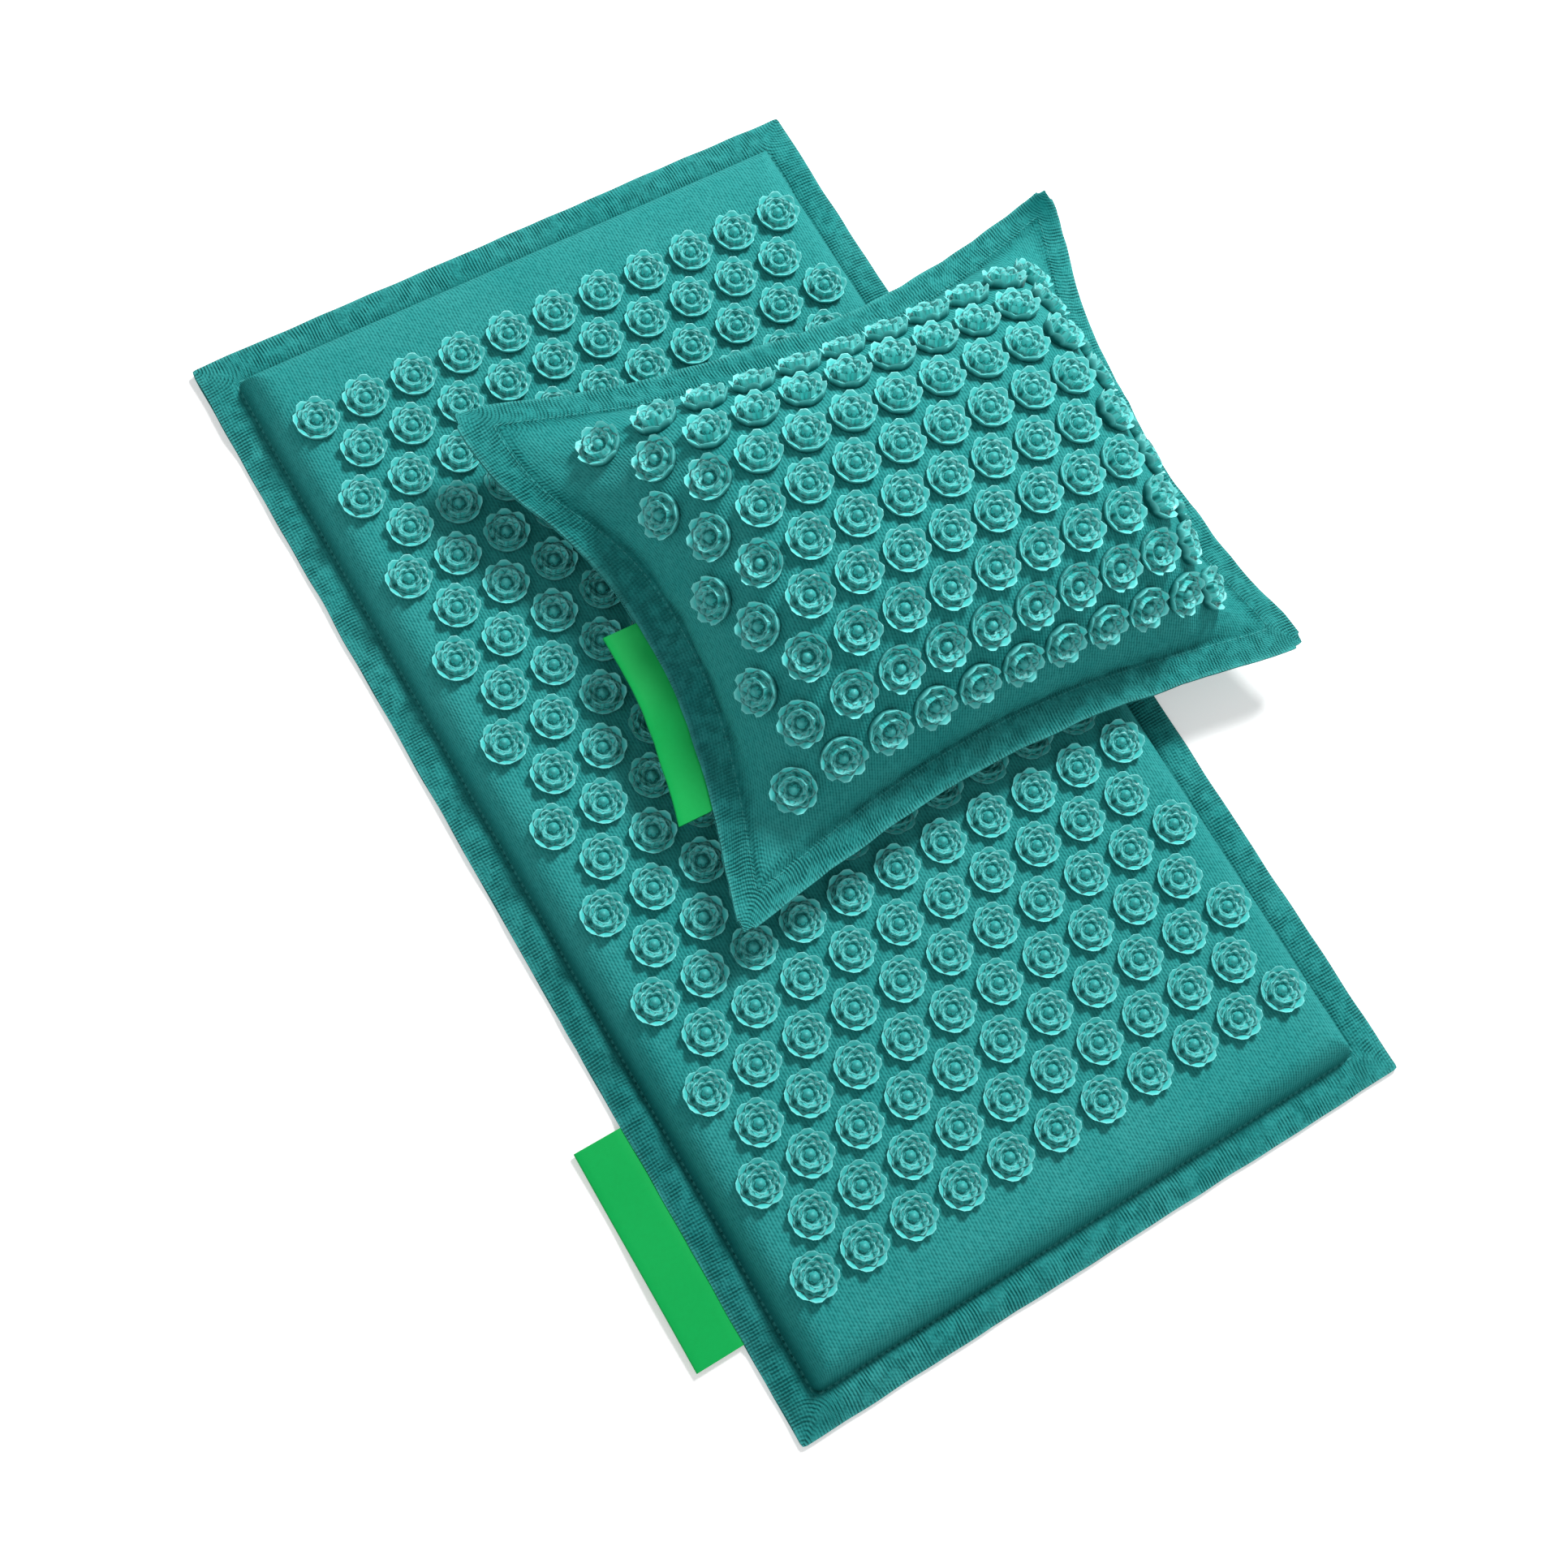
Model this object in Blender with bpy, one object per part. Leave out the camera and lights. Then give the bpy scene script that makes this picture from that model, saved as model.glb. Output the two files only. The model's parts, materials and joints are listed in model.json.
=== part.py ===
"""Acupressure mat with its pillow: cloth covers that carry moulded spiked discs.

Units are metres and +Z is up. The origin is the centre of the mat's underside, +X runs across the
mat and +Y along it. The pillow lies on the mat's discs.
"""

import math

import bmesh
import bpy
from mathutils import Euler, Matrix, Vector

# Cloth, ribbon and the clearance between layers
COVER_THICKNESS = 0.0012
LINING_THICKNESS = 0.0005
STRIP_THICKNESS = 0.0008
RIBBON_THICKNESS = 0.0004
LAYER_GAP = 0.0003

# Mat: a flat flange runs round a pad with steep rounded walls
MAT_LENGTH = 0.730
MAT_WIDTH = 0.420
MAT_HEIGHT = 0.027
MAT_FLANGE = 0.022
MAT_WALL_RUN = 0.010
MAT_OUTER_RADIUS = 0.003
MAT_PAD_RADIUS = 0.016
MAT_CORNER_STEPS = 5
MAT_WALL_STEPS = 4

# Moulded disc: a ring of pointed petals round a well with a boss in it
DISC_DIAMETER = 0.029
DISC_HEIGHT = 0.0065
DISC_PETALS = 8
PETAL_TIP_RADIUS_SHARE = 0.76
WELL_RADIUS_SHARE = 0.36
WELL_HEIGHT_SHARE = 0.36
BOSS_HEIGHT_SHARE = 0.80

# Disc fields: rows step by a share of the pitch, and every second row is one disc shorter
MAT_DISC_GAP = 0.00345
MAT_ROW_STEP_SHARE = 0.8946
MAT_END_MARGIN = 0.027
PILLOW_DISC_GAP = 0.0014
PILLOW_ROW_STEP_SHARE = 0.9457
PILLOW_FIELD_X_SHARE = 0.83
PILLOW_FIELD_Y_SHARE = 0.78

# Hook and loop closures, sewn inside a flange
STRIP_WIDTH = 0.016
MAT_STRIP_LENGTH = 0.300
PILLOW_STRIP_SPAN_SHARE = 0.60

# Folded ribbon labels, sewn into a flange
MAT_LABEL_LENGTH = 0.137
MAT_LABEL_REACH = 0.030
MAT_LABEL_TO_END = 0.063
PILLOW_LABEL_LENGTH = 0.118
PILLOW_LABEL_REACH = 0.021
PILLOW_LABEL_TO_CORNER = 0.072
PILLOW_LABEL_DROOP_DEG = 14.0
LABEL_TUCK = 0.010
LABEL_RAMP = 0.006
LABEL_STEPS = 6

# Pillow: corner to corner sizes of its flange, how far its sides draw in, and its rise and belly
PILLOW_LENGTH = 0.412
PILLOW_WIDTH = 0.341
PILLOW_FLANGE = 0.022
PILLOW_DRAW_X = 0.0293
PILLOW_DRAW_Y = 0.0259
PILLOW_CROWN = 0.078
PILLOW_BELLY = 0.034
PILLOW_CORNER_DROOP = 0.007
PILLOW_FLANGE_FALL = 0.005
DRAW_POWER_X = 6.0
DRAW_POWER_Y = 3.0
FALL_POWER_X = 2.4
FALL_POWER_Y = 2.0
ROUND_POWER_X = 0.9
ROUND_POWER_Y = 0.7
PILLOW_STEPS_X = 10
PILLOW_STEPS_Y = 8

# Pillow's place: its seam's height over the disc tips, its middle, and its turn on the mat
PILLOW_SEAM_RISE = 0.026
PILLOW_CENTRE_X = 0.107
PILLOW_CENTRE_Y = 0.050
PILLOW_TURN_DEG = (2.0, 3.5, -2.4)

# Where the pillow's rings of points lie, as shares of the way from its middle to its seam
FIELD_BORDER_SHARE = 0.94
WALL_RING_SHARE = 0.98
SEAM_INSET_SHARE = 0.07
LINING_BORDER_SHARE = 0.95
LINING_CORNER_PULL_SHARE = 0.14
EASE_RING_SHARE = 0.6
SLOPE_STEP_SHARE = 0.002

# Linear colours
TEAL_CLOTH = (0.026, 0.290, 0.272, 1.0)
TEAL_PLASTIC = (0.100, 0.600, 0.570, 1.0)
GREEN_RIBBON = (0.002, 0.445, 0.090, 1.0)
COIR_BROWN = (0.300, 0.180, 0.085, 1.0)
HUSK_BROWN = (0.060, 0.036, 0.022, 1.0)
LINING_WHITE = (0.720, 0.690, 0.610, 1.0)
STRIP_TEAL = (0.018, 0.180, 0.170, 1.0)

# Sizes worked out from those above
DISC_RADIUS = DISC_DIAMETER / 2
LABEL_STACK = 2 * RIBBON_THICKNESS + LAYER_GAP
LABEL_LIFT = LABEL_STACK + LAYER_GAP
STRIP_LIFT = 2 * (STRIP_THICKNESS + LAYER_GAP)
REST_LEVEL = MAT_HEIGHT + DISC_HEIGHT + LAYER_GAP
SEAM_HALF_X = PILLOW_LENGTH / 2 - PILLOW_FLANGE
SEAM_HALF_Y = PILLOW_WIDTH / 2 - PILLOW_FLANGE
PILLOW_PLACE = Matrix.Translation(
    (PILLOW_CENTRE_X, PILLOW_CENTRE_Y, REST_LEVEL + PILLOW_SEAM_RISE)
) @ Euler([math.radians(turn) for turn in PILLOW_TURN_DEG], "XYZ").to_matrix().to_4x4()
PILLOW_PLACE_BACK = PILLOW_PLACE.inverted()
TOP_SIDE = 1
UNDER_SIDE = -1


def clear_scene():
    """Removes what the scene holds."""
    for thing in list(bpy.data.objects):
        bpy.data.objects.remove(thing)


def material(name, colour, roughness, metallic=0.0):
    """Returns a material of one colour and finish."""
    made = bpy.data.materials.new(name)
    made.use_nodes = True
    shader = made.node_tree.nodes["Principled BSDF"]
    shader.inputs["Base Color"].default_value = colour
    shader.inputs["Roughness"].default_value = roughness
    shader.inputs["Metallic"].default_value = metallic
    return made


def add_part(name, shape, finishes, parent=None):
    """Makes the named object from a bmesh, with its materials."""
    bmesh.ops.recalc_face_normals(shape, faces=shape.faces)
    mesh = bpy.data.meshes.new(name)
    shape.to_mesh(mesh)
    shape.free()
    for finish in finishes:
        mesh.materials.append(finish)
    part = bpy.data.objects.new(name, mesh)
    bpy.context.scene.collection.objects.link(part)
    part.parent = parent
    return part


def ramp(value, start, end):
    """Returns 0 before start, 1 past end, and a straight slope between."""
    return min(max((value - start) / (end - start), 0.0), 1.0)


def add_loop(shape, points):
    """Adds a closed loop of vertices in the order given."""
    return [shape.verts.new(point) for point in points]


def skin(shape, first, second):
    """Joins two loops of as many vertices with a band of triangles."""
    for index, start in enumerate(first):
        following = (index + 1) % len(first)
        shape.faces.new((start, first[following], second[following]))
        shape.faces.new((start, second[following], second[index]))


def loop_edges(shape, loop):
    """Returns the edges of a closed loop, and makes those that are missing."""
    edges = []
    for index, vertex in enumerate(loop):
        following = loop[(index + 1) % len(loop)]
        edges.append(shape.edges.get((vertex, following)) or shape.edges.new((vertex, following)))
    return edges


# Discs


def disc_mesh():
    """Models one disc standing on z = 0, open below, by extruding its eight-sided rim inwards."""
    shape = bmesh.new()
    half_step = Matrix.Rotation(math.pi / DISC_PETALS, 3, "Z")
    rim = bmesh.ops.create_circle(shape, segments=DISC_PETALS, radius=DISC_RADIUS)["verts"]
    edges = loop_edges(shape, rim)
    grown = bmesh.ops.extrude_edge_only(shape, edges=edges)["geom"]
    tips = [part for part in grown if isinstance(part, bmesh.types.BMVert)]
    for vertex in tips:
        vertex.co = half_step @ vertex.co * PETAL_TIP_RADIUS_SHARE
        vertex.co.z = DISC_HEIGHT
    bmesh.ops.triangulate(shape, faces=shape.faces, quad_method="SHORT_EDGE")
    grown = bmesh.ops.extrude_edge_only(shape, edges=loop_edges(shape, tips))["geom"]
    well = [part for part in grown if isinstance(part, bmesh.types.BMVert)]
    for vertex in well:
        vertex.co = vertex.co * (WELL_RADIUS_SHARE / PETAL_TIP_RADIUS_SHARE)
        vertex.co.z = DISC_HEIGHT * WELL_HEIGHT_SHARE
    pairs = [well[index : index + 2] for index in range(0, len(well), 2)]
    for pair in pairs:
        bmesh.ops.pointmerge(shape, verts=pair, merge_co=(pair[0].co + pair[1].co) / 2)
    inner = [edge for edge in shape.edges if edge.is_boundary and edge.verts[0].co.z > 0]
    grown = bmesh.ops.extrude_edge_only(shape, edges=inner)["geom"]
    boss = [part for part in grown if isinstance(part, bmesh.types.BMVert)]
    top = Vector((0, 0, DISC_HEIGHT * BOSS_HEIGHT_SHARE))
    bmesh.ops.pointmerge(shape, verts=boss, merge_co=top)
    bmesh.ops.triangulate(shape, faces=shape.faces)
    for face in shape.faces:
        face.material_index = 1
    mesh = bpy.data.meshes.new("disc")
    shape.to_mesh(mesh)
    shape.free()
    return mesh


def field_places(width, length, gap, row_step_share):
    """Returns the disc centres that fit a field, in staggered rows."""
    pitch = DISC_DIAMETER + gap
    row_step = pitch * row_step_share
    columns = 1 + int((width - DISC_DIAMETER) / pitch)
    rows = 1 + int((length - DISC_DIAMETER) / row_step)
    places = []
    for row in range(rows):
        count = columns - row % 2
        y = (row - (rows - 1) / 2) * row_step
        places += [((column - (count - 1) / 2) * pitch, y) for column in range(count)]
    return places


def add_disc(shape, disc, place):
    """Adds a copy of the disc and returns its vertices."""
    start = len(shape.verts)
    copy = disc.copy()
    copy.transform(place)
    shape.from_mesh(copy)
    bpy.data.meshes.remove(copy)
    shape.verts.ensure_lookup_table()
    return shape.verts[start:]


def fill_round_discs(shape, border, discs):
    """Fills the flat cloth between a border loop and the rims of the discs inside it."""
    rims = {edge for disc in discs for vertex in disc for edge in vertex.link_edges if edge.is_boundary}
    bmesh.ops.triangle_fill(
        shape, use_beauty=True, use_dissolve=False, edges=loop_edges(shape, border) + list(rims)
    )


# Mat


def mat_stations():
    """Returns where the flange changes height along the left side and along the right side."""
    closure = [MAT_LENGTH / 2 - 3 * MAT_FLANGE, MAT_LENGTH / 2 - 2 * MAT_FLANGE]
    start, end = label_span()
    return [start - LABEL_RAMP, start, end, end + LABEL_RAMP] + closure, closure


def label_span():
    """Returns the ends of the mat's label along Y."""
    start = MAT_LABEL_TO_END - MAT_LENGTH / 2
    return start, start + MAT_LABEL_LENGTH


def mat_ring(inset, level):
    """Returns a rounded rectangle this far inside the mat's edge, at the level that a function gives."""
    half_x = MAT_WIDTH / 2 - inset
    half_y = MAT_LENGTH / 2 - inset
    radius = MAT_OUTER_RADIUS
    if inset:
        radius = max(MAT_PAD_RADIUS + MAT_FLANGE - inset, MAT_OUTER_RADIUS)
    left, right = mat_stations()
    points = []
    for corner in range(4):
        centre_x = (half_x - radius) * (1 if corner in (0, 3) else -1)
        centre_y = (half_y - radius) * (1 if corner in (0, 1) else -1)
        for step in range(MAT_CORNER_STEPS + 1):
            angle = (corner + step / MAT_CORNER_STEPS) * math.pi / 2
            points.append((centre_x + radius * math.cos(angle), centre_y + radius * math.sin(angle)))
        if corner == 1:
            points += [(-half_x, y) for y in sorted(left, reverse=True)]
        if corner == 3:
            points += [(half_x, y) for y in sorted(right)]
    return [Vector((x, y, level(x, y))) for x, y in points]


def flange_underside(x, y):
    """Returns the height of the upper flange's underside, lifted over the closure and the label."""
    closure = ramp(y, MAT_LENGTH / 2 - 3 * MAT_FLANGE, MAT_LENGTH / 2 - 2 * MAT_FLANGE)
    start, end = label_span()
    label = min(ramp(y, start - LABEL_RAMP, start), 1 - ramp(y, end, end + LABEL_RAMP))
    lift = max(STRIP_LIFT * closure, LABEL_LIFT * label if x < 0 else 0)
    return COVER_THICKNESS + LAYER_GAP + lift


def wall_rings(shape, depth, foot):
    """Adds the rings of the pad's rounded wall, this deep inside the cover's outer face."""
    rings = []
    for step in range(MAT_WALL_STEPS + 1):
        angle = step / MAT_WALL_STEPS * math.pi / 2
        inset = MAT_FLANGE + depth + MAT_WALL_RUN * (1 - math.cos(angle))
        top = MAT_HEIGHT - depth
        rise = math.sin(angle)
        rings.append(add_loop(shape, mat_ring(inset, lambda x, y: foot(x, y) + (top - foot(x, y)) * rise)))
    return rings


def mat_top_cover(cloth, plastic, disc):
    """The upper cover: flange, walls and top in one, with the discs fused to it."""
    shape = bmesh.new()

    def flange_top(x, y):
        return flange_underside(x, y) + COVER_THICKNESS

    outer = [add_loop(shape, mat_ring(0, flange_top))] + wall_rings(shape, 0, flange_top)
    inner = [add_loop(shape, mat_ring(0, flange_underside))] + wall_rings(
        shape, COVER_THICKNESS, flange_underside
    )
    rings = outer[::-1] + inner
    for first, second in zip(rings, rings[1:]):
        skin(shape, first, second)
    shape.faces.new(inner[-1])
    border = MAT_FLANGE + MAT_WALL_RUN
    width = MAT_WIDTH - 2 * border
    length = MAT_LENGTH - 2 * (border + MAT_END_MARGIN)
    places = field_places(width, length, MAT_DISC_GAP, MAT_ROW_STEP_SHARE)
    discs = [add_disc(shape, disc, Matrix.Translation((x, y, MAT_HEIGHT))) for x, y in places]
    fill_round_discs(shape, outer[-1], discs)
    return add_part("mat_top_cover", shape, [cloth, plastic])


def mat_bottom_cover(cloth):
    """The flat cloth that the mat lies on."""
    shape = bmesh.new()
    lower = add_loop(shape, mat_ring(0, lambda x, y: 0))
    upper = add_loop(shape, mat_ring(0, lambda x, y: COVER_THICKNESS))
    shape.faces.new(lower)
    shape.faces.new(upper)
    skin(shape, lower, upper)
    return add_part("mat_bottom_cover", shape, [cloth])


def mat_core(coir):
    """The fibre pad inside the covers."""
    shape = bmesh.new()
    foot = COVER_THICKNESS + LAYER_GAP
    rings = wall_rings(shape, COVER_THICKNESS + LAYER_GAP, lambda x, y: foot)
    for first, second in zip(rings, rings[1:]):
        skin(shape, first, second)
    shape.faces.new(rings[0])
    shape.faces.new(rings[-1])
    return add_part("mat_core", shape, [coir])


def mat_closure(finish):
    """The two closure strips, one on the other, between the flanges at the mat's far end."""
    shapes = []
    for index in range(2):
        shape = bmesh.new()
        low = COVER_THICKNESS + LAYER_GAP + index * (STRIP_THICKNESS + LAYER_GAP)
        centre = Vector((0, MAT_LENGTH / 2 - MAT_FLANGE / 2, low + STRIP_THICKNESS / 2))
        size = Matrix.Diagonal((MAT_STRIP_LENGTH, STRIP_WIDTH, STRIP_THICKNESS, 1))
        bmesh.ops.create_cube(shape, size=1, matrix=Matrix.Translation(centre) @ size)
        shapes.append(shape)
    loop_strip = add_part("mat_loop_strip", shapes[0], [finish])
    hook_strip = add_part("mat_hook_strip", shapes[1], [finish])
    return loop_strip, hook_strip


def folded_ribbon(frames, reach):
    """Sweeps a ribbon folded in two along frames whose X points out of the flange and Z up."""
    shape = bmesh.new()
    ply = RIBBON_THICKNESS
    gap = LAYER_GAP
    top = LABEL_STACK
    section = [(-LABEL_TUCK, 0), (0, 0), (reach, 0), (reach, top), (0, top), (-LABEL_TUCK, top)]
    section += [(-LABEL_TUCK, ply + gap), (0, ply + gap), (reach - ply, ply + gap)]
    section += [(reach - ply, ply), (0, ply), (-LABEL_TUCK, ply)]
    loops = [add_loop(shape, [frame(out, up) for out, up in section]) for frame in frames]
    for first, second in zip(loops, loops[1:]):
        skin(shape, first, second)
    shape.faces.new(loops[0])
    shape.faces.new(loops[-1])
    return shape


def mat_label(ribbon):
    """The ribbon at the mat's left edge, tucked between the two flanges."""
    base = COVER_THICKNESS + LAYER_GAP
    edge = MAT_WIDTH / 2
    frames = [lambda out, up, y=y: Vector((-edge - out, y, base + up)) for y in label_span()]
    return add_part("mat_label", folded_ribbon(frames, MAT_LABEL_REACH), [ribbon])


# Pillow


def swell(s, t):
    """Returns how full the pillow is, from 1 in its middle to 0 at its seam."""
    across = max(1 - abs(s) ** FALL_POWER_X, 0) ** ROUND_POWER_X
    along = max(1 - abs(t) ** FALL_POWER_Y, 0) ** ROUND_POWER_Y
    return across * along


def plan(s, t, spread=0):
    """Returns x and y of a point of the pillow, whose sides draw in between the corners."""
    x = s * (SEAM_HALF_X + spread) - PILLOW_DRAW_X * (1 - t * t) * s * abs(s) ** DRAW_POWER_X
    y = t * (SEAM_HALF_Y + spread) - PILLOW_DRAW_Y * (1 - s * s) * t * abs(t) ** DRAW_POWER_Y
    return x, y


def seam_level(s, t):
    """Returns the height of the plane between the covers, which droops to the corners."""
    return -PILLOW_CORNER_DROOP * (s * t) ** 2


def cover_point(side, s, t):
    """Returns a point of a cover's outer face, flat where the pillow lies on the mat."""
    x, y = plan(s, t)
    bulge = PILLOW_CROWN if side == TOP_SIDE else PILLOW_BELLY
    level = seam_level(s, t)
    point = Vector((x, y, level + side * (bulge * swell(s, t) + LAYER_GAP / 2 + COVER_THICKNESS)))
    if side == UNDER_SIDE:
        placed = PILLOW_PLACE @ point
        placed.z = max(placed.z, min(REST_LEVEL, (PILLOW_PLACE @ Vector((x, y, level))).z))
        point = PILLOW_PLACE_BACK @ placed
    return point


def cover_frame(side, s, t):
    """Returns the two slopes and the outward normal of a cover's outer face."""
    step = SLOPE_STEP_SHARE
    across = cover_point(side, s + step, t) - cover_point(side, s - step, t)
    along = cover_point(side, s, t + step) - cover_point(side, s, t - step)
    return across.normalized(), along.normalized(), across.cross(along).normalized() * side


def layer_point(side, depth, s, t):
    """Returns a point this deep inside a cover's outer face."""
    return cover_point(side, s, t) - cover_frame(side, s, t)[2] * depth


def pulled(depth, u, v):
    """Returns the shares of a point of a layer's grid, whose corners are drawn in."""
    size = LINING_BORDER_SHARE - depth / SEAM_HALF_Y
    s = size * u * (1 - LINING_CORNER_PULL_SHARE * v**4)
    t = size * v * (1 - LINING_CORNER_PULL_SHARE * u**4)
    return s, t


def strip_stretch(s, t):
    """Returns whether a seam point is by the closure, which is on the pillow's right side."""
    return s == 1 and abs(t) <= PILLOW_STRIP_SPAN_SHARE + 2 / PILLOW_STEPS_Y


def pillow_label_span():
    """Returns the ends of the pillow's label as shares of its left side."""
    start = (PILLOW_LABEL_TO_CORNER - PILLOW_WIDTH / 2) / (PILLOW_WIDTH / 2)
    return start, start + PILLOW_LABEL_LENGTH / (PILLOW_WIDTH / 2)


def label_stretch(s, t):
    """Returns whether a seam point is by the label, which is on the pillow's left side."""
    start, end = pillow_label_span()
    step = 2 / PILLOW_STEPS_Y
    return s == -1 and start - step <= t <= end + step


def flange_point(side, out, s, t, offset=0):
    """Returns a point between the seam, where out is 0, and the flange's edge, where it is 1."""
    x, y = plan(s, t, PILLOW_FLANGE * out)
    lift = 0
    if strip_stretch(s, t):
        lift = STRIP_LIFT / 2
    if label_stretch(s, t):
        lift = LABEL_LIFT / 2
    level = seam_level(s, t) - PILLOW_FLANGE_FALL * out
    return Vector((x, y, level + side * (LAYER_GAP / 2 + lift + offset)))


def square_border():
    """Returns the shares of the points on the border of the square from -1 to 1, in order round it."""
    across = [2 * step / PILLOW_STEPS_X - 1 for step in range(PILLOW_STEPS_X)]
    along = [2 * step / PILLOW_STEPS_Y - 1 for step in range(PILLOW_STEPS_Y)]
    shares = [(u, -1) for u in across] + [(1, v) for v in along]
    return shares + [(-u, 1) for u in across] + [(-1, -v) for v in along]


def add_border(shape, where):
    """Adds the loop of the square's border, where a function of the shares says."""
    return [(shape.verts.new(where(u, v)), u, v) for u, v in square_border()]


def grid_sheet(shape, where):
    """Adds a grid over the square from -1 to 1, cut towards its corners, and returns its border."""
    grid = bmesh.ops.create_grid(shape, x_segments=PILLOW_STEPS_X, y_segments=PILLOW_STEPS_Y, size=1)
    verts = grid["verts"]
    faces = {face for vertex in verts for face in vertex.link_faces}
    rising = [face for face in faces if math.prod(face.calc_center_median().xy) > 0]
    falling = list(faces.difference(rising))
    bmesh.ops.triangulate(shape, faces=rising, quad_method="FIXED")
    bmesh.ops.triangulate(shape, faces=falling, quad_method="ALTERNATE")
    by_step = {step_of(vertex.co.x, vertex.co.y): vertex for vertex in verts}
    for vertex in verts:
        vertex.co = where(vertex.co.x, vertex.co.y)
    return [(by_step[step_of(u, v)], u, v) for u, v in square_border()]


def step_of(u, v):
    """Returns which column and row of the square's grid a point is in."""
    return round((u + 1) * PILLOW_STEPS_X / 2), round((v + 1) * PILLOW_STEPS_Y / 2)


def close_rim(shape, first, second):
    """Joins two border loops with a band of faces."""
    skin(shape, [item[0] for item in first], [item[0] for item in second])


def grow(shape, border, where):
    """Adds a ring outside a border loop, where a function of the shares says, and returns it."""
    ring = add_border(shape, where)
    close_rim(shape, border, ring)
    return ring


def wall_share(u, v):
    """Returns the shares of a point of the ring just inside the seam."""
    return u * WALL_RING_SHARE, v * WALL_RING_SHARE


def grow_to_flange(shape, border, side, depth):
    """Grows a cover's sheet from the wall ring, down its wall and out to the flange's edge."""
    offset = COVER_THICKNESS - depth
    seam = -SEAM_INSET_SHARE if depth else 0
    border = grow(shape, border, lambda u, v: flange_point(side, seam, u, v, offset))
    return grow(shape, border, lambda u, v: flange_point(side, 1, u, v, offset))


def grid_layer(shape, side, depth):
    """Adds the grid of a layer this deep inside a cover's outer face, and returns its border loop."""
    return grid_sheet(shape, lambda u, v: layer_point(side, depth, *pulled(depth, u, v)))


def plain_sheet(shape, side, depth):
    """Adds a cover's sheet without discs, this deep inside its outer face."""
    border = grid_layer(shape, side, depth)

    def eased(u, v):
        first, last = pulled(depth, u, v), wall_share(u, v)
        shares = [a + (b - a) * EASE_RING_SHARE for a, b in zip(first, last)]
        return layer_point(side, depth, *shares)

    border = grow(shape, border, eased)
    border = grow(shape, border, lambda u, v: layer_point(side, depth, *wall_share(u, v)))
    return grow_to_flange(shape, border, side, depth)


def disc_sheet(shape, disc):
    """Adds the upper cover's outer sheet, filled flat round its discs and then bent to the crown."""
    half_x = SEAM_HALF_X * FIELD_BORDER_SHARE
    half_y = SEAM_HALF_Y * FIELD_BORDER_SHARE
    border = add_border(shape, lambda u, v: Vector((u * half_x, v * half_y, 0)))
    width = 2 * SEAM_HALF_X * PILLOW_FIELD_X_SHARE + DISC_DIAMETER
    length = 2 * SEAM_HALF_Y * PILLOW_FIELD_Y_SHARE + DISC_DIAMETER
    places = field_places(width, length, PILLOW_DISC_GAP, PILLOW_ROW_STEP_SHARE)
    discs = [add_disc(shape, disc, Matrix.Translation((x, y, 0))) for x, y in places]
    fill_round_discs(shape, [item[0] for item in border], discs)
    for (x, y), verts in zip(places, discs):
        place = disc_place(x / SEAM_HALF_X, y / SEAM_HALF_Y)
        for vertex in verts:
            vertex.co = place @ (vertex.co - Vector((x, y, 0)))
    for vertex, u, v in border:
        vertex.co = cover_point(TOP_SIDE, u * FIELD_BORDER_SHARE, v * FIELD_BORDER_SHARE)
    border = grow(shape, border, lambda u, v: cover_point(TOP_SIDE, *wall_share(u, v)))
    return grow_to_flange(shape, border, TOP_SIDE, 0)


def disc_place(s, t):
    """Returns the matrix that stands a disc on the pillow's crown."""
    across, _, normal = cover_frame(TOP_SIDE, s, t)
    along = normal.cross(across)
    turn = Matrix((across, along, normal)).transposed().to_4x4()
    return Matrix.Translation(cover_point(TOP_SIDE, s, t)) @ turn


def pillow_top_cover(cloth, plastic, disc, parent):
    """The upper cover: crown, drawn-in sides and flange in one, with the discs fused to it."""
    shape = bmesh.new()
    close_rim(shape, disc_sheet(shape, disc), plain_sheet(shape, TOP_SIDE, COVER_THICKNESS))
    return add_part("pillow_top_cover", shape, [cloth, plastic], parent)


def pillow_bottom_cover(cloth, parent):
    """The lower cover, flat where it lies on the mat's discs."""
    shape = bmesh.new()
    outer = plain_sheet(shape, UNDER_SIDE, 0)
    close_rim(shape, outer, plain_sheet(shape, UNDER_SIDE, COVER_THICKNESS))
    return add_part("pillow_bottom_cover", shape, [cloth], parent)


def bag_seam(depth, offset, u, v):
    """Returns a point where the bag's panels meet, this deep inside the covers."""
    s, t = pulled(depth, u, v)
    x, y = plan(s, t, -depth)
    return Vector((x, y, seam_level(s, t) + offset))


def lining_sheet(shape, side, depth):
    """Adds a sheet of the inner bag, from its middle round to the seam between its two panels."""
    border = grid_layer(shape, side, depth)
    return grow(shape, border, lambda u, v: bag_seam(depth, side * LAYER_GAP / 2, u, v))


def pillow_inner_bag(lining, parent):
    """The two panels of the bag that holds the husks."""
    depth = COVER_THICKNESS + LAYER_GAP
    for name, side in (("pillow_inner_bag_top", TOP_SIDE), ("pillow_inner_bag_bottom", UNDER_SIDE)):
        shape = bmesh.new()
        outer = lining_sheet(shape, side, depth)
        close_rim(shape, outer, lining_sheet(shape, side, depth + LINING_THICKNESS))
        add_part(name, shape, [lining], parent)


def pillow_filling(husk, parent):
    """The husks inside the bag, as one solid."""
    shape = bmesh.new()
    depth = COVER_THICKNESS + LINING_THICKNESS + 2 * LAYER_GAP
    middle = grow(shape, grid_layer(shape, TOP_SIDE, depth), lambda u, v: bag_seam(depth, 0, u, v))
    close_rim(shape, grid_layer(shape, UNDER_SIDE, depth), middle)
    return add_part("pillow_filling", shape, [husk], parent)


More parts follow.
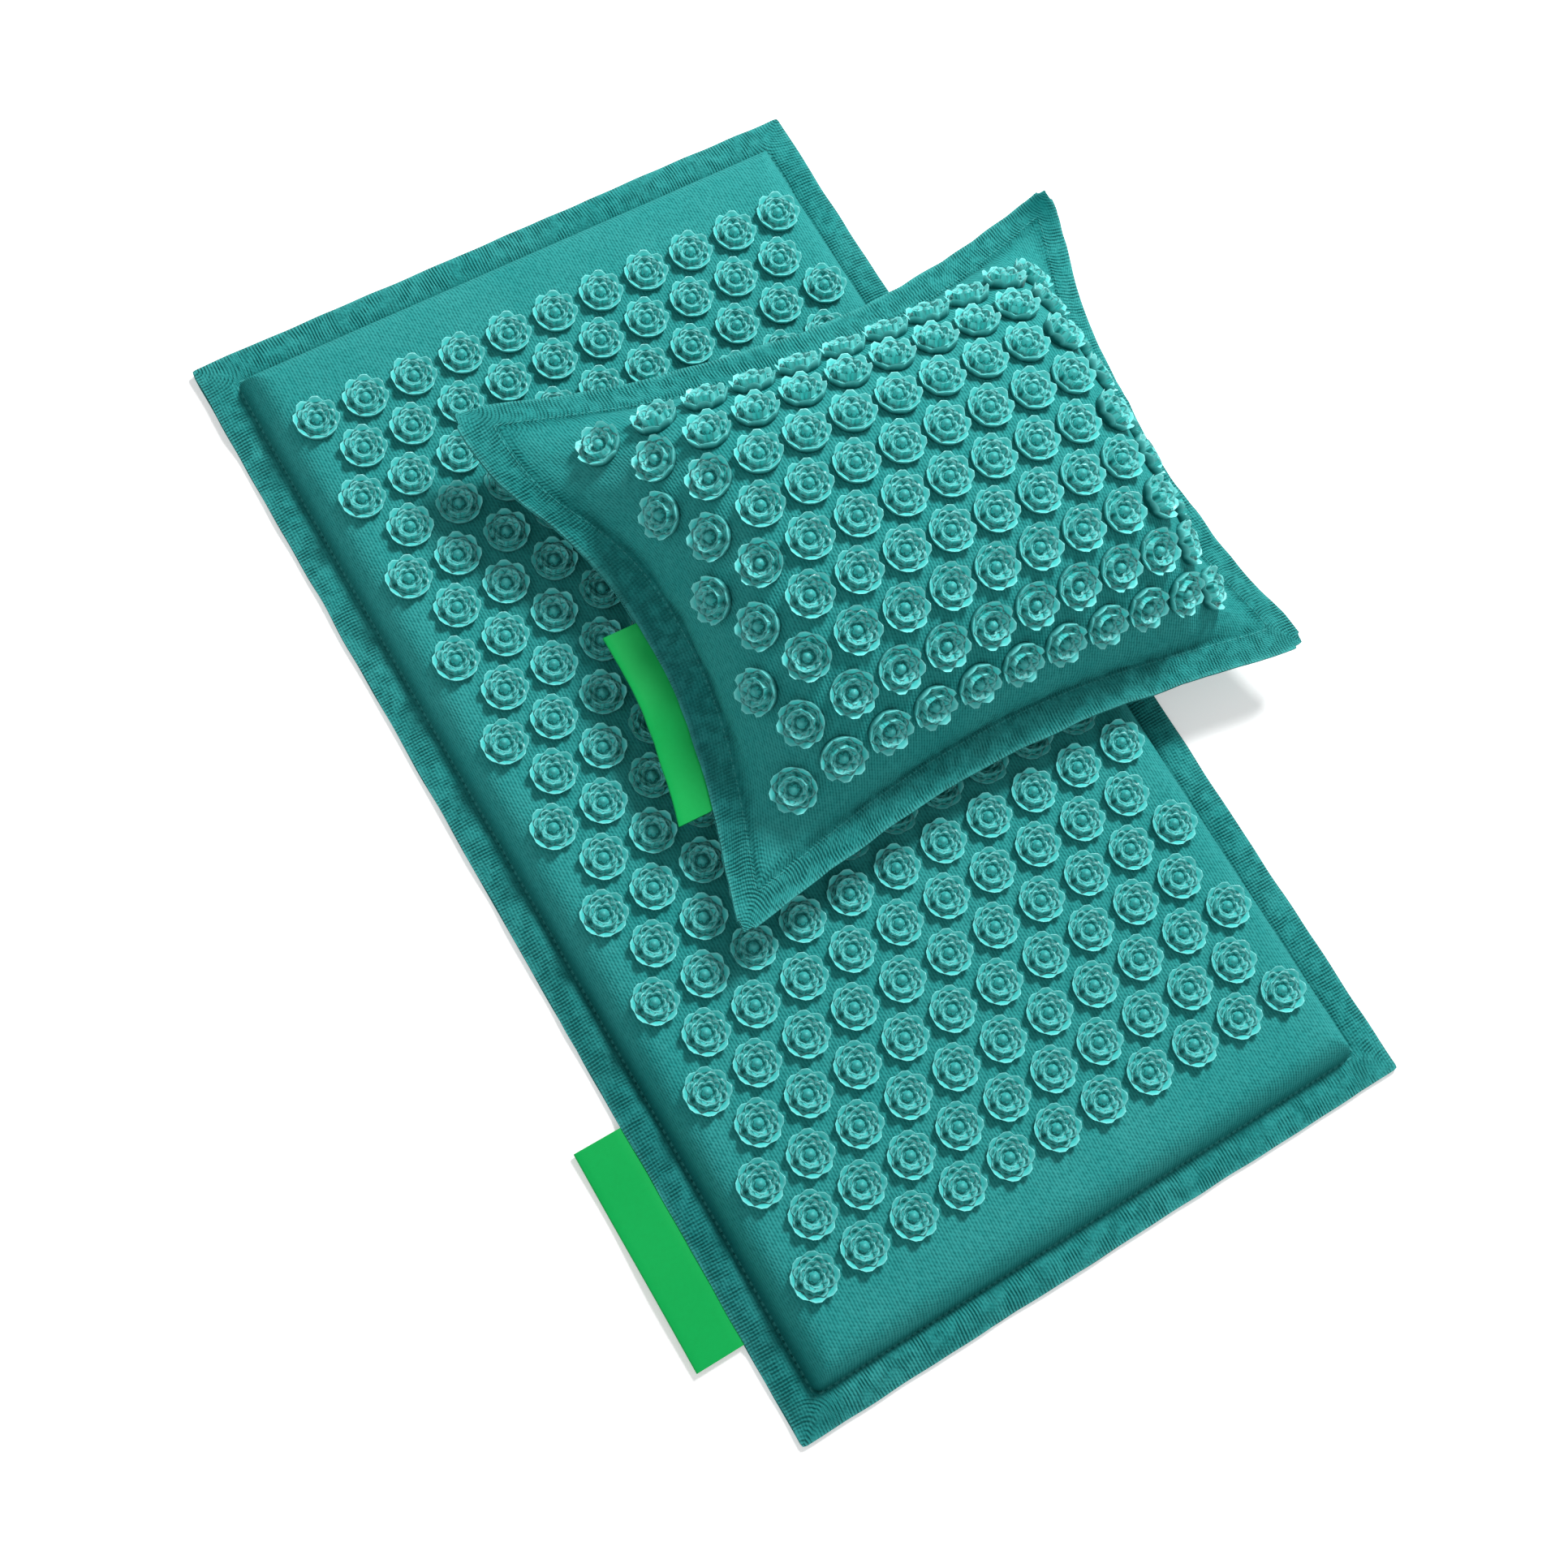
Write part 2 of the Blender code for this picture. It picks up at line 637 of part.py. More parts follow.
def pillow_closure(finish, parent):
    """The two closure strips, one on the other, between the flanges on the pillow's right side."""
    edge = (1 - STRIP_WIDTH / PILLOW_FLANGE) / 2
    span = PILLOW_STRIP_SPAN_SHARE
    steps = [-1 + 2 * index / PILLOW_STEPS_Y for index in range(PILLOW_STEPS_Y + 1)]
    stations = [-span] + [t for t in steps if abs(t) < span] + [span]
    for name, side in (("pillow_hook_strip", TOP_SIDE), ("pillow_loop_strip", UNDER_SIDE)):
        shape = bmesh.new()
        loops = []
        for t in stations:
            corners = [(edge, 0), (1 - edge, 0), (1 - edge, STRIP_THICKNESS), (edge, STRIP_THICKNESS)]
            low = -STRIP_LIFT / 2
            points = [flange_point(side, out, 1, t, low + up) for out, up in corners]
            loops.append(add_loop(shape, points))
        for first, second in zip(loops, loops[1:]):
            skin(shape, first, second)
        shape.faces.new(loops[0])
        shape.faces.new(loops[-1])
        add_part(name, shape, [finish], parent)


def pillow_label(ribbon, parent):
    """The ribbon in the pillow's left flange, which follows the drawn-in side and droops a little."""
    start, end = pillow_label_span()
    droop = math.radians(PILLOW_LABEL_DROOP_DEG)

    def frame_at(t):
        root = flange_point(TOP_SIDE, 1, -1, t)
        middle = seam_level(-1, t) - PILLOW_FLANGE_FALL
        slope = PILLOW_FLANGE_FALL / PILLOW_FLANGE

        def frame(out, up):
            fall = math.sin(droop) * out if out > 0 else slope * out
            run = math.cos(droop) * out if out > 0 else out
            return Vector((root.x - run, root.y, middle - fall + up - LABEL_STACK / 2))

        return frame

    stations = [start + (end - start) * index / LABEL_STEPS for index in range(LABEL_STEPS + 1)]
    frames = [frame_at(t) for t in stations]
    return add_part("pillow_label", folded_ribbon(frames, PILLOW_LABEL_REACH), [ribbon], parent)


def main():
    """Builds the mat and the pillow that lies on it."""
    clear_scene()
    cloth = material("teal_cloth", TEAL_CLOTH, roughness=0.85)
    plastic = material("teal_plastic", TEAL_PLASTIC, roughness=0.35)
    ribbon = material("green_ribbon", GREEN_RIBBON, roughness=0.50)
    coir = material("coir_fibre", COIR_BROWN, roughness=0.95)
    husk = material("husks", HUSK_BROWN, roughness=0.80)
    lining = material("cotton_lining", LINING_WHITE, roughness=0.90)
    fastener = material("closure_strip", STRIP_TEAL, roughness=0.90)
    disc = disc_mesh()
    mat_top_cover(cloth, plastic, disc)
    mat_bottom_cover(cloth)
    mat_core(coir)
    mat_closure(fastener)
    mat_label(ribbon)
    pillow = bpy.data.objects.new("pillow_place", None)
    bpy.context.scene.collection.objects.link(pillow)
    pillow.matrix_world = PILLOW_PLACE
    pillow_top_cover(cloth, plastic, disc, pillow)
    pillow_bottom_cover(cloth, pillow)
    pillow_inner_bag(lining, pillow)
    pillow_filling(husk, pillow)
    pillow_closure(fastener, pillow)
    pillow_label(ribbon, pillow)
    bpy.data.meshes.remove(disc)
    bpy.context.view_layer.update()


main()
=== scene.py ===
"""Dresses the acupressure mat and its pillow for rendering, round the frame that the CAD model gives.

Lengths are in metres in the mat's frame: X runs across the mat, Y along it and Z up.
"""

from __future__ import annotations

import json
import logging
import math
from collections.abc import Callable, Iterable, Sequence
from dataclasses import dataclass, field
from enum import Enum

import bmesh
import bpy
from mathutils import Euler, Matrix, Vector, noise
from mathutils.bvhtree import BVHTree

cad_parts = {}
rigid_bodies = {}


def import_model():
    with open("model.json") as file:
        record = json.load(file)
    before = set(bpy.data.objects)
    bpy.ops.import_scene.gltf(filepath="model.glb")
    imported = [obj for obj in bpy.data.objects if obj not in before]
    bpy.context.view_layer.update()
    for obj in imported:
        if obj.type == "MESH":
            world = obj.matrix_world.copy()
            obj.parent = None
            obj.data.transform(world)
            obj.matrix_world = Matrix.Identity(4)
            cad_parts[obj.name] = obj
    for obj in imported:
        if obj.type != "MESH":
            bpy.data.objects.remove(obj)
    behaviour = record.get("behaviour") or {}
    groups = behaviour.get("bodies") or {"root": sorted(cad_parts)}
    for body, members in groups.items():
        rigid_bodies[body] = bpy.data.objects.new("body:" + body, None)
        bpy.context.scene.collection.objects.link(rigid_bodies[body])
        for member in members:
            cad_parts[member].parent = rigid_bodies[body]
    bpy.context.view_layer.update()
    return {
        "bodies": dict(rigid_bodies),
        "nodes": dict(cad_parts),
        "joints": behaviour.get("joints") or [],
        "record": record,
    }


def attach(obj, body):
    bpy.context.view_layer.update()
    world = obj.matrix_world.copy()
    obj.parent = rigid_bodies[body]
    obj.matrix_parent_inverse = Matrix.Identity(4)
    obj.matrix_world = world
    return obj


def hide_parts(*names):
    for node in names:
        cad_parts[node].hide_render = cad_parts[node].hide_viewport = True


log = logging.getLogger("acupressure_mat")

Colour = tuple[float, float, float, float]
Triple = tuple[float, float, float]
Shape = bmesh.types.BMesh
Vertex = bmesh.types.BMVert
Edge = bmesh.types.BMEdge
Layer = bmesh.types.BMLayerItem
Socket = bpy.types.NodeSocket
Material = bpy.types.Material
LabelPlace = Callable[[float, float, float], Vector]

CLOTH_LAYERS = ("crease", "worn", "gather", "tip_way", "to_edge", "rib_way")
PLACE_LAYERS = ("share_s", "share_t", "out")
TRIAL_LAYERS = ("held", "slack")
DISC_LAYERS = ("disc_x", "disc_y", "skirt")
COVER_THICKNESS = 0.0012
LAYER_GAP = 0.0003
RIBBON_THICKNESS = 0.0004
STRIP_THICKNESS = 0.0008
DISC_RADIUS = 0.0141
DISC_SHARP_DEGREES = 75.0
WORN_WIDTH = 0.0018
UP = Vector((0, 0, 1))
FULL_TURN = 2 * math.pi


class Body(Enum):
    """The bodies that the pieces ride on."""

    MAT = "mat"
    PILLOW = "pillow"


class Slot(Enum):
    """The record's material slots."""

    CLOTH = "cover_cloth"
    DISC = "disc_plastic"
    FIBRE = "core_fibre"
    HUSK = "husk"
    LINING = "lining"
    RIBBON = "label_ribbon"


class Side(Enum):
    """Which way a cover of the pillow faces."""

    TOP = 1
    UNDER = -1


def clamp(value: float, low: float = 0.0, high: float = 1.0) -> float:
    """Returns the value, kept between two limits."""
    return min(max(value, low), high)


def smooth_step(value: float, start: float, end: float) -> float:
    """Returns a soft rise from 0 at start to 1 at end."""
    share = clamp((value - start) / (end - start))
    return share * share * (3 - 2 * share)


def bump(value: float, width: float) -> float:
    """Returns a bell of height 1 round 0, of this half width."""
    return math.exp(-((value / width) ** 2))


def from_corner(over_x: float, over_y: float) -> float:
    """Returns a distance from a corner whose even lines cross both of its sides squarely."""
    return (over_x**4 + over_y**4) ** 0.25


def waver(x: float, y: float, length: float, seed: float = 0.0) -> float:
    """Returns smooth noise from -1 to 1, with features of this length, from one of the noise's layers."""
    return noise.noise(Vector((x / length, y / length, seed)))


# Node trees


class Canvas:
    """A node tree, with short calls that add nodes and join them."""

    def __init__(self, tree: bpy.types.NodeTree) -> None:
        """Keeps the tree."""
        self.tree = tree

    def feed(self, socket: Socket, value: object) -> None:
        """Joins a socket to the value, or sets it where the value is a constant."""
        if isinstance(value, Socket):
            self.tree.links.new(value, socket)
        else:
            socket.default_value = value

    def add(self, kind: str, inputs: dict | None = None, **settings: object) -> bpy.types.Node:
        """Adds a node.

        Args:
            kind: The node's type.
            inputs: Values or sockets, by input name or number.
            **settings: The node's own properties.

        Returns:
            The node.
        """
        node = self.tree.nodes.new(kind)
        for name, value in settings.items():
            setattr(node, name, value)
        for key, value in (inputs or {}).items():
            self.feed(node.inputs[key], value)
        return node

    def math(self, operation: str, *values: object) -> Socket:
        """Returns the result of a Math node."""
        return self.add("ShaderNodeMath", dict(enumerate(values)), operation=operation).outputs[0]

    def times(self, first: object, second: object) -> Socket:
        """Returns a product."""
        return self.math("MULTIPLY", first, second)

    def phase(self, value: object, pitch: object) -> Socket:
        """Returns the angle of a value that turns round once in a pitch."""
        return self.math("DIVIDE", self.times(value, FULL_TURN), pitch)

    def mix(self, factor: object, first: object, second: object) -> Socket:
        """Returns a blend of two colours."""
        values = {0: factor, 6: first, 7: second}
        return self.add("ShaderNodeMix", values, data_type="RGBA").outputs[2]

    def tint(self, mask: object, share: float, first: object, second: object) -> Socket:
        """Returns the first colour with a share of the second where the mask is 1."""
        return self.mix(self.times(mask, share), first, second)

    def noise(self, vector: object, scale: float, detail: float = 2.0) -> Socket:
        """Returns a noise texture's value."""
        values = {"Vector": vector, "Scale": scale, "Detail": detail}
        return self.add("ShaderNodeTexNoise", values).outputs["Fac"]

    def spread(self, value: object, low: float, high: float) -> Socket:
        """Returns a value stretched so that low becomes 0 and high becomes 1."""
        return self.add("ShaderNodeMapRange", {0: value, 1: low, 2: high}).outputs[0]

    def seen(self) -> Socket:
        """Returns 1 for rays that the eye follows: straight, mirrored or let through."""
        rays = self.add("ShaderNodeLightPath").outputs
        seen = self.math("MAXIMUM", rays["Is Camera Ray"], rays["Is Glossy Ray"])
        return self.math("MAXIMUM", seen, rays["Is Transmission Ray"])


class Effect:
    """A shader node group that takes a vector and named values, built once and shared."""

    def __init__(self, name: str, inputs: Sequence[str], outputs: Sequence[str]) -> None:
        """Makes the group's tree and its sockets."""
        self.tree = bpy.data.node_groups.new(name, "ShaderNodeTree")
        new_socket = self.tree.interface.new_socket
        new_socket("Vector", in_out="INPUT", socket_type="NodeSocketVector")
        for way, sockets in (("INPUT", inputs), ("OUTPUT", outputs)):
            for socket in sockets:
                new_socket(socket, in_out=way, socket_type="NodeSocketFloat")
        self.canvas = Canvas(self.tree)
        self.given = self.canvas.add("NodeGroupInput").outputs
        self.wanted = self.canvas.add("NodeGroupOutput").inputs

    def put_out(self, **values: Socket) -> Effect:
        """Feeds the group's outputs and returns the group."""
        for name, value in values.items():
            self.canvas.feed(self.wanted[name], value)
        return self

    def place(self, canvas: Canvas, inputs: dict[str, object]) -> bpy.types.NodeOutputs:
        """Puts the group in a material's tree and returns its outputs."""
        return canvas.add("ShaderNodeGroup", inputs, node_tree=self.tree).outputs


class Effects:
    """The effects that several finishes share."""

    def __init__(self) -> None:
        """Builds each group."""
        self.weave = self._weave()
        self.gathers = self._gathers()
        self.mottle = self._mottle()

    @staticmethod
    def _weave() -> Effect:
        """Builds ribs crossed by finer threads, as their height and how deep a point lies between them."""
        drift_scale, slub_scale = 90.0, 380.0
        rise_share = 0.7
        rib_share, thread_share = 0.70, 0.30
        crossed_share, slub_share = 0.6, 0.8
        effect = Effect("ribbed_weave", ("Rib pitch", "Thread pitch", "Turn", "Drift"), ("Height", "Gap"))
        canvas, given = effect.canvas, effect.given
        turn = {"Vector": given["Vector"], "Angle": given["Turn"]}
        turned = canvas.add("ShaderNodeVectorRotate", turn, rotation_type="Z_AXIS").outputs[0]
        drift = canvas.times(canvas.noise(turned, drift_scale), given["Drift"])
        axes = canvas.add("ShaderNodeSeparateXYZ", {0: turned}).outputs
        along = canvas.math("ADD", axes["Y"], canvas.times(axes["Z"], rise_share))
        rib_phase = canvas.phase(canvas.math("ADD", axes["X"], drift), given["Rib pitch"])
        thread_phase = canvas.phase(canvas.math("ADD", along, drift), given["Thread pitch"])
        phases = (rib_phase, canvas.math("ADD", thread_phase, canvas.times(rib_phase, 0.5)))
        rib, thread = (canvas.spread(canvas.math("SINE", phase), -1.0, 1.0) for phase in phases)
        crossed = canvas.math("MULTIPLY_ADD", thread, thread_share, canvas.times(rib, rib_share))
        slub = canvas.noise(turned, slub_scale, 3.0)
        height = canvas.math("MULTIPLY_ADD", slub, slub_share, canvas.times(crossed, crossed_share))
        return effect.put_out(Height=height, Gap=canvas.spread(height, 0.85, 0.35))

    @staticmethod
    def _gathers() -> Effect:
        """Builds the broken ribs that run in from a sewn edge and curve round its corners."""
        drift_scale, drift_length = 35.0, 0.0035
        patch_scale = 140.0
        patch_share = 0.85
        effect = Effect("edge_gathers", ("Way", "Mask", "Pitch"), ("Height", "Gap"))
        canvas, given = effect.canvas, effect.given
        drift = canvas.times(canvas.noise(given["Vector"], drift_scale), drift_length)
        way = canvas.math("DIVIDE", canvas.math("ADD", given["Way"], drift), given["Pitch"])
        rib = canvas.math("SINE", canvas.times(way, FULL_TURN))
        patch = canvas.spread(canvas.noise(given["Vector"], patch_scale, 3.0), 0.36, 0.60)
        broken = canvas.math("MULTIPLY_ADD", patch, patch_share, 1 - patch_share)
        strength = canvas.times(given["Mask"], broken)
        gap = canvas.times(canvas.spread(rib, 0.1, -1.0), strength)
        return effect.put_out(Height=canvas.times(rib, strength), Gap=gap)

    @staticmethod
    def _mottle() -> Effect:
        """Builds soft patches and fine grain, as a value round a half that varies a colour."""
        patch_share, grain_share = 0.55, 0.45
        effect = Effect("mottle", ("Patch scale", "Grain scale"), ("Value",))
        canvas, given = effect.canvas, effect.given
        patches = canvas.noise(given["Vector"], given["Patch scale"], 3.0)
        grain = canvas.noise(given["Vector"], given["Grain scale"])
        mixed = canvas.math("MULTIPLY_ADD", grain, grain_share, canvas.times(patches, patch_share))
        return effect.put_out(Value=canvas.spread(mixed, 0.32, 0.68))


class Finish:
    """A material under construction: its tree, its shader and its coordinates."""

    def __init__(self, name: str, constants: dict[str, object]) -> None:
        """Makes the material and sets what is the same all over it."""
        self.material = bpy.data.materials.new(name)
        self.material.use_nodes = True
        self.canvas = Canvas(self.material.node_tree)
        self.shader = self.material.node_tree.nodes["Principled BSDF"]
        self.give(constants)
        self.place = self.canvas.add("ShaderNodeTexCoord").outputs["Object"]

    def give(self, values: dict[str, object]) -> None:
        """Feeds the shader's inputs by name."""
        for name, value in values.items():
            self.canvas.feed(self.shader.inputs[name], value)

    def attribute(self, name: str) -> Socket:
        """Returns a mesh attribute as a value."""
        return self.canvas.add("ShaderNodeAttribute", attribute_name=name).outputs["Fac"]

    def mottle(self, effects: Effects, patch_scale: float, grain_scale: float) -> Socket:
        """Returns the shared mottle at these scales."""
        scales = {"Patch scale": patch_scale, "Grain scale": grain_scale}
        return effects.mottle.place(self.canvas, {"Vector": self.place, **scales})["Value"]

    def relief(self, height: object, distance: float, strength: float) -> None:
        """Feeds the shader's normal from a height."""
        values = {"Height": height, "Distance": distance, "Strength": strength, "Filter Width": 1.0}
        self.give({"Normal": self.canvas.add("ShaderNodeBump", values).outputs[0]})


@dataclass(frozen=True)
class Cloth:
    """A woven finish: ribbed cotton, plain lining or satin ribbon."""

    name: str
    base: Colour
    deep: Colour
    pale: Colour
    rib_pitch: float
    thread_pitch: float
    turn: float = 0.0
    drift: float = 0.0012
    thread_depth: float = 0.0003
    relief_strength: float = 0.8
    gap_share: float = 0.55
    gap_roughness: float = 0.10
    mottle_share: float = 0.35
    patch_scale: float = 22.0
    grain_scale: float = 260.0
    roughness: float = 0.85
    sheen: float = 0.12
    specular: float = 0.18
    edged: bool = False
    gather_pitch: float = 0.0020
    gather_depth: float = 0.00045
    gather_share: float = 0.70
    stitch_line: float = 0.0195
    stitch_pitch: float = 0.0042
    stitch_half: float = 0.0003
    stitch_fade: float = 0.0008
    stitch_depth: float = 0.0004
    stitch_share: float = 0.45

    def build(self, effects: Effects) -> Material:
        """Builds the material.

        Args:
            effects: The shared node groups.

        Returns:
            The material.
        """
        sheen = {"Sheen Weight": self.sheen, "Sheen Roughness": 0.5, "Sheen Tint": self.pale}
        made = Finish(self.name, {"Specular IOR Level": self.specular, **sheen})
        canvas, place = made.canvas, made.place
        if self.edged:
            axes = canvas.add("ShaderNodeSeparateXYZ", {0: place}).outputs
            followed = {"X": made.attribute("rib_way"), "Y": axes["Y"], "Z": axes["Z"]}
            place = canvas.add("ShaderNodeCombineXYZ", followed).outputs[0]
        pitches = {"Rib pitch": self.rib_pitch, "Thread pitch": self.thread_pitch}
        ways = {"Turn": self.turn, "Drift": self.drift}
        weave = effects.weave.place(canvas, {"Vector": place, **pitches, **ways})
        mottle = made.mottle(effects, self.patch_scale, self.grain_scale)
        tone = canvas.tint(mottle, self.mottle_share, self.base, self.pale)
        tone = canvas.tint(weave["Gap"], self.gap_share, tone, self.deep)
        height = canvas.times(weave["Height"], self.thread_depth)
        if self.edged:
            tone, height = self._edging(made, effects, tone, height)
        rough = canvas.math("MULTIPLY_ADD", weave["Gap"], self.gap_roughness, self.roughness)
        made.give({"Base Color": tone, "Roughness": rough})
        made.relief(height, 1.0, self.relief_strength)
        return made.material

    def _edging(self, made: Finish, effects: Effects, tone: Socket, height: Socket) -> tuple[Socket, Socket]:
        """Adds the gathers, the painted shade of creases, the stitches, and the wear and painted highlight
        along a sewn edge.

        Args:
            made: The material under construction.
            effects: The shared node groups.
            tone: The cloth's colour without them.
            height: The cloth's relief without them.

        Returns:
            The colour and the relief with them.
        """
        canvas = made.canvas
        ways = {"Way": made.attribute("tip_way"), "Mask": made.attribute("gather")}
        ribs = effects.gathers.place(canvas, {"Vector": made.place, **ways, "Pitch": self.gather_pitch})
        height = canvas.math("MULTIPLY_ADD", ribs["Height"], self.gather_depth, height)
        tone = canvas.tint(ribs["Gap"], self.gather_share, tone, self.deep)
        # Painted shade: the deep colour is mixed in where the layer marks grooves, seam valleys and shaded
        # flanges.
        tone = canvas.mix(made.attribute("crease"), tone, self.deep)
        stitches = self._stitches(made)
        height = canvas.math("MULTIPLY_ADD", stitches, self.stitch_depth, height)
        tone = canvas.tint(stitches, self.stitch_share, tone, self.pale)
        # Wear and a painted highlight: the pale colour along the flange's outer edge.
        return canvas.mix(made.attribute("worn"), tone, self.pale), height

    def _stitches(self, made: Finish) -> Socket:
        """Returns 1 on the stitches of the seam that forms the flange."""
        canvas = made.canvas
        off_line = canvas.math("SUBTRACT", made.attribute("to_edge"), self.stitch_line)
        line = canvas.spread(canvas.math("ABSOLUTE", off_line), self.stitch_fade, self.stitch_half)
        phase = canvas.times(made.attribute("tip_way"), FULL_TURN / self.stitch_pitch)
        return canvas.times(line, canvas.spread(canvas.math("SINE", phase), -0.6, 0.0))


@dataclass(frozen=True)
class Petals:
    """A ring of petals in a disc's relief, with its lengths as shares of the disc's radius."""

    count: int
    rim: float
    run: float
    scallop: float
    depth: float
    turn: float = 0.0

    def relief(self, canvas: Canvas, radius: Socket, angle: Socket) -> tuple[Socket, Socket, Socket]:
        """Works out the ring in a material's tree.

        Args:
            canvas: The tree.
            radius: The point's distance from the disc's middle.
            angle: The point's direction from there.

        Returns:
            The ring's height, how near the point is to a rim, which sets a painted highlight, and how deep it
            lies in a hollow, which sets painted shade.
        """
        phase = canvas.math("MULTIPLY_ADD", angle, self.count / 2, math.pi * self.turn)
        petal = canvas.math("ABSOLUTE", canvas.math("COSINE", phase))
        edge = canvas.math("MULTIPLY_ADD", petal, self.scallop, self.rim - self.scallop)
        inward = canvas.math("DIVIDE", canvas.math("SUBTRACT", edge, radius), self.run)
        within = canvas.spread(inward, -0.16, 0.06)
        fall = canvas.times(within, canvas.spread(inward, 1.0, 0.0))
        level = canvas.times(fall, canvas.math("MULTIPLY_ADD", petal, 0.55, 0.45))
        # Near the rim: where the finish paints a highlight.
        near_rim = canvas.times(within, canvas.spread(inward, 0.55, 0.05))
        rim = canvas.times(near_rim, canvas.math("MULTIPLY_ADD", petal, 0.5, 0.5))
        # Painted shade in the notches between petals and at the foot of the next ring inside.
        gap = canvas.times(canvas.spread(petal, 0.40, 0.0), canvas.spread(inward, -0.2, 0.2))
        foot = canvas.math("ABSOLUTE", canvas.math("SUBTRACT", inward, 1.02))
        hollow = canvas.math("MAXIMUM", canvas.spread(foot, 0.24, 0.04), canvas.times(gap, fall))
        return level, rim, hollow


@dataclass(frozen=True)
class Moulded:
    """A glossy moulded plastic with rings of petals, with painted shade in their hollows and painted
    highlights on their rims.
    """

    name: str
    deep: Colour
    base: Colour
    pale: Colour
    rings: tuple[Petals, ...]
    button: float = 0.235
    button_depth: float = 0.0010
    button_shade: float = 0.42
    groove: float = 0.045
    groove_half: float = 0.070
    ripple: float = 0.022
    ripple_scale: float = 260.0
    hollow_share: float = 0.86
    rim_share: float = 0.84
    mottle_share: float = 0.12
    patch_scale: float = 30.0
    grain_scale: float = 900.0
    roughness: float = 0.30
    hollow_roughness: float = 0.25
    specular: float = 0.36

    def build(self, effects: Effects) -> Material:
        """Builds the material.

        Args:
            effects: The shared node groups.

        Returns:
            The material.
        """
        made = Finish(self.name, {"Specular IOR Level": self.specular})
        canvas = made.canvas
        mottle = made.mottle(effects, self.patch_scale, self.grain_scale)
        across, along = made.attribute("disc_x"), made.attribute("disc_y")
        squares = canvas.math("ADD", *(canvas.times(way, way) for way in (across, along)))
        shift = canvas.math("SUBTRACT", canvas.noise(made.place, self.ripple_scale), 0.5)
        radius = canvas.math("MULTIPLY_ADD", shift, self.ripple, canvas.math("SQRT", squares))
        angle = canvas.math("ARCTAN2", along, across)
        dome = canvas.math("POWER", canvas.spread(radius, self.button, 0.0), 0.5)
        height = canvas.times(dome, self.button_depth)
        # Painted shade in the groove round the button and on the button's top.
        off_groove = canvas.math("SUBTRACT", radius, self.button + self.groove)
        hollow = canvas.spread(canvas.math("ABSOLUTE", off_groove), self.groove_half, 0.0)
        cap = canvas.times(canvas.spread(radius, self.button, self.button - 0.05), self.button_shade)
        hollow = canvas.math("MAXIMUM", hollow, cap)
        rim = 0.0
        for ring in self.rings:
            level, ring_rim, ring_hollow = ring.relief(canvas, radius, angle)
            height = canvas.math("MULTIPLY_ADD", level, ring.depth, height)
            rim = canvas.math("MAXIMUM", rim, ring_rim)
            hollow = canvas.math("MAXIMUM", hollow, ring_hollow)
        # Painted shade in the hollows and notches.
        tone = canvas.tint(hollow, self.hollow_share, self.base, self.deep)
        # Painted highlights on the petals' rims.
        tone = canvas.tint(rim, self.rim_share, tone, self.pale)
        tone = canvas.tint(mottle, self.mottle_share, tone, self.base)
        # Painted shade on the outer wall, darkest at its foot.
        tone = canvas.mix(canvas.spread(made.attribute("skirt"), 0.05, 0.75), tone, self.deep)
        rough = canvas.math("MULTIPLY_ADD", hollow, self.hollow_roughness, self.roughness)
        made.give({"Base Color": tone, "Roughness": rough})
        made.relief(height, 1.0, 1.0)
        return made.material


@dataclass(frozen=True)
class Loose:
    """A rough fibrous or grainy filling."""

    name: str
    base: Colour
    deep: Colour
    stretch: Triple
    scale: float
    depth: float = 0.0006
    patch_scale: float = 25.0
    grain_scale: float = 400.0
    mottle_share: float = 0.3

    def build(self, effects: Effects) -> Material:
        """Builds the material.

        Args:
            effects: The shared node groups.

        Returns:
            The material.
        """
        made = Finish(self.name, {"Roughness": 0.95})
        canvas = made.canvas
        drawn = canvas.add("ShaderNodeMapping", {"Vector": made.place, "Scale": self.stretch}).outputs[0]
        strands = canvas.spread(canvas.noise(drawn, self.scale, 4.0), 0.30, 0.70)
        mottle = made.mottle(effects, self.patch_scale, self.grain_scale)
        tone = canvas.mix(strands, self.deep, self.base)
        made.give({"Base Color": canvas.tint(mottle, self.mottle_share, tone, self.deep)})
        made.relief(strands, self.depth, 1.0)
        return made.material


AnyFinish = Cloth | Moulded | Loose

COVER_CLOTH = Cloth(
    "teal_ribbed_cotton",
    base=(0.027, 0.328, 0.318, 1.0),
    deep=(0.001, 0.115, 0.112, 1.0),
    pale=(0.090, 0.500, 0.480, 1.0),
    rib_pitch=0.0019,
    thread_pitch=0.0026,
    turn=math.radians(2.0),
    drift=0.0010,
    thread_depth=0.00040,
    relief_strength=1.0,
    gap_share=0.64,
    specular=0.06,
    edged=True,
)
LINING_CLOTH = Cloth(
    "undyed_cotton_lining",
    base=(0.72, 0.69, 0.61, 1.0),
    deep=(0.48, 0.45, 0.38, 1.0),
    pale=(0.82, 0.80, 0.74, 1.0),
    rib_pitch=0.0008,
    thread_pitch=0.0008,
    thread_depth=0.0001,
)
LABEL_RIBBON = Cloth(
    "green_satin_ribbon",
    base=(0.000, 0.440, 0.086, 1.0),
    deep=(0.000, 0.330, 0.060, 1.0),
    pale=(0.002, 0.500, 0.110, 1.0),
    rib_pitch=0.0006,
    thread_pitch=0.0009,
    drift=0.0002,
    thread_depth=0.00006,
    relief_strength=0.5,
    gap_share=0.30,
    mottle_share=0.25,
    roughness=0.45,
    sheen=0.0,
)
CLOSURE_PILE = Cloth(
    "dark_teal_pile",
    base=(0.018, 0.180, 0.170, 1.0),
    deep=(0.006, 0.080, 0.076, 1.0),
    pale=(0.050, 0.260, 0.250, 1.0),
    rib_pitch=0.0012,
    thread_pitch=0.0012,
    thread_depth=0.0005,
    roughness=0.9,
)
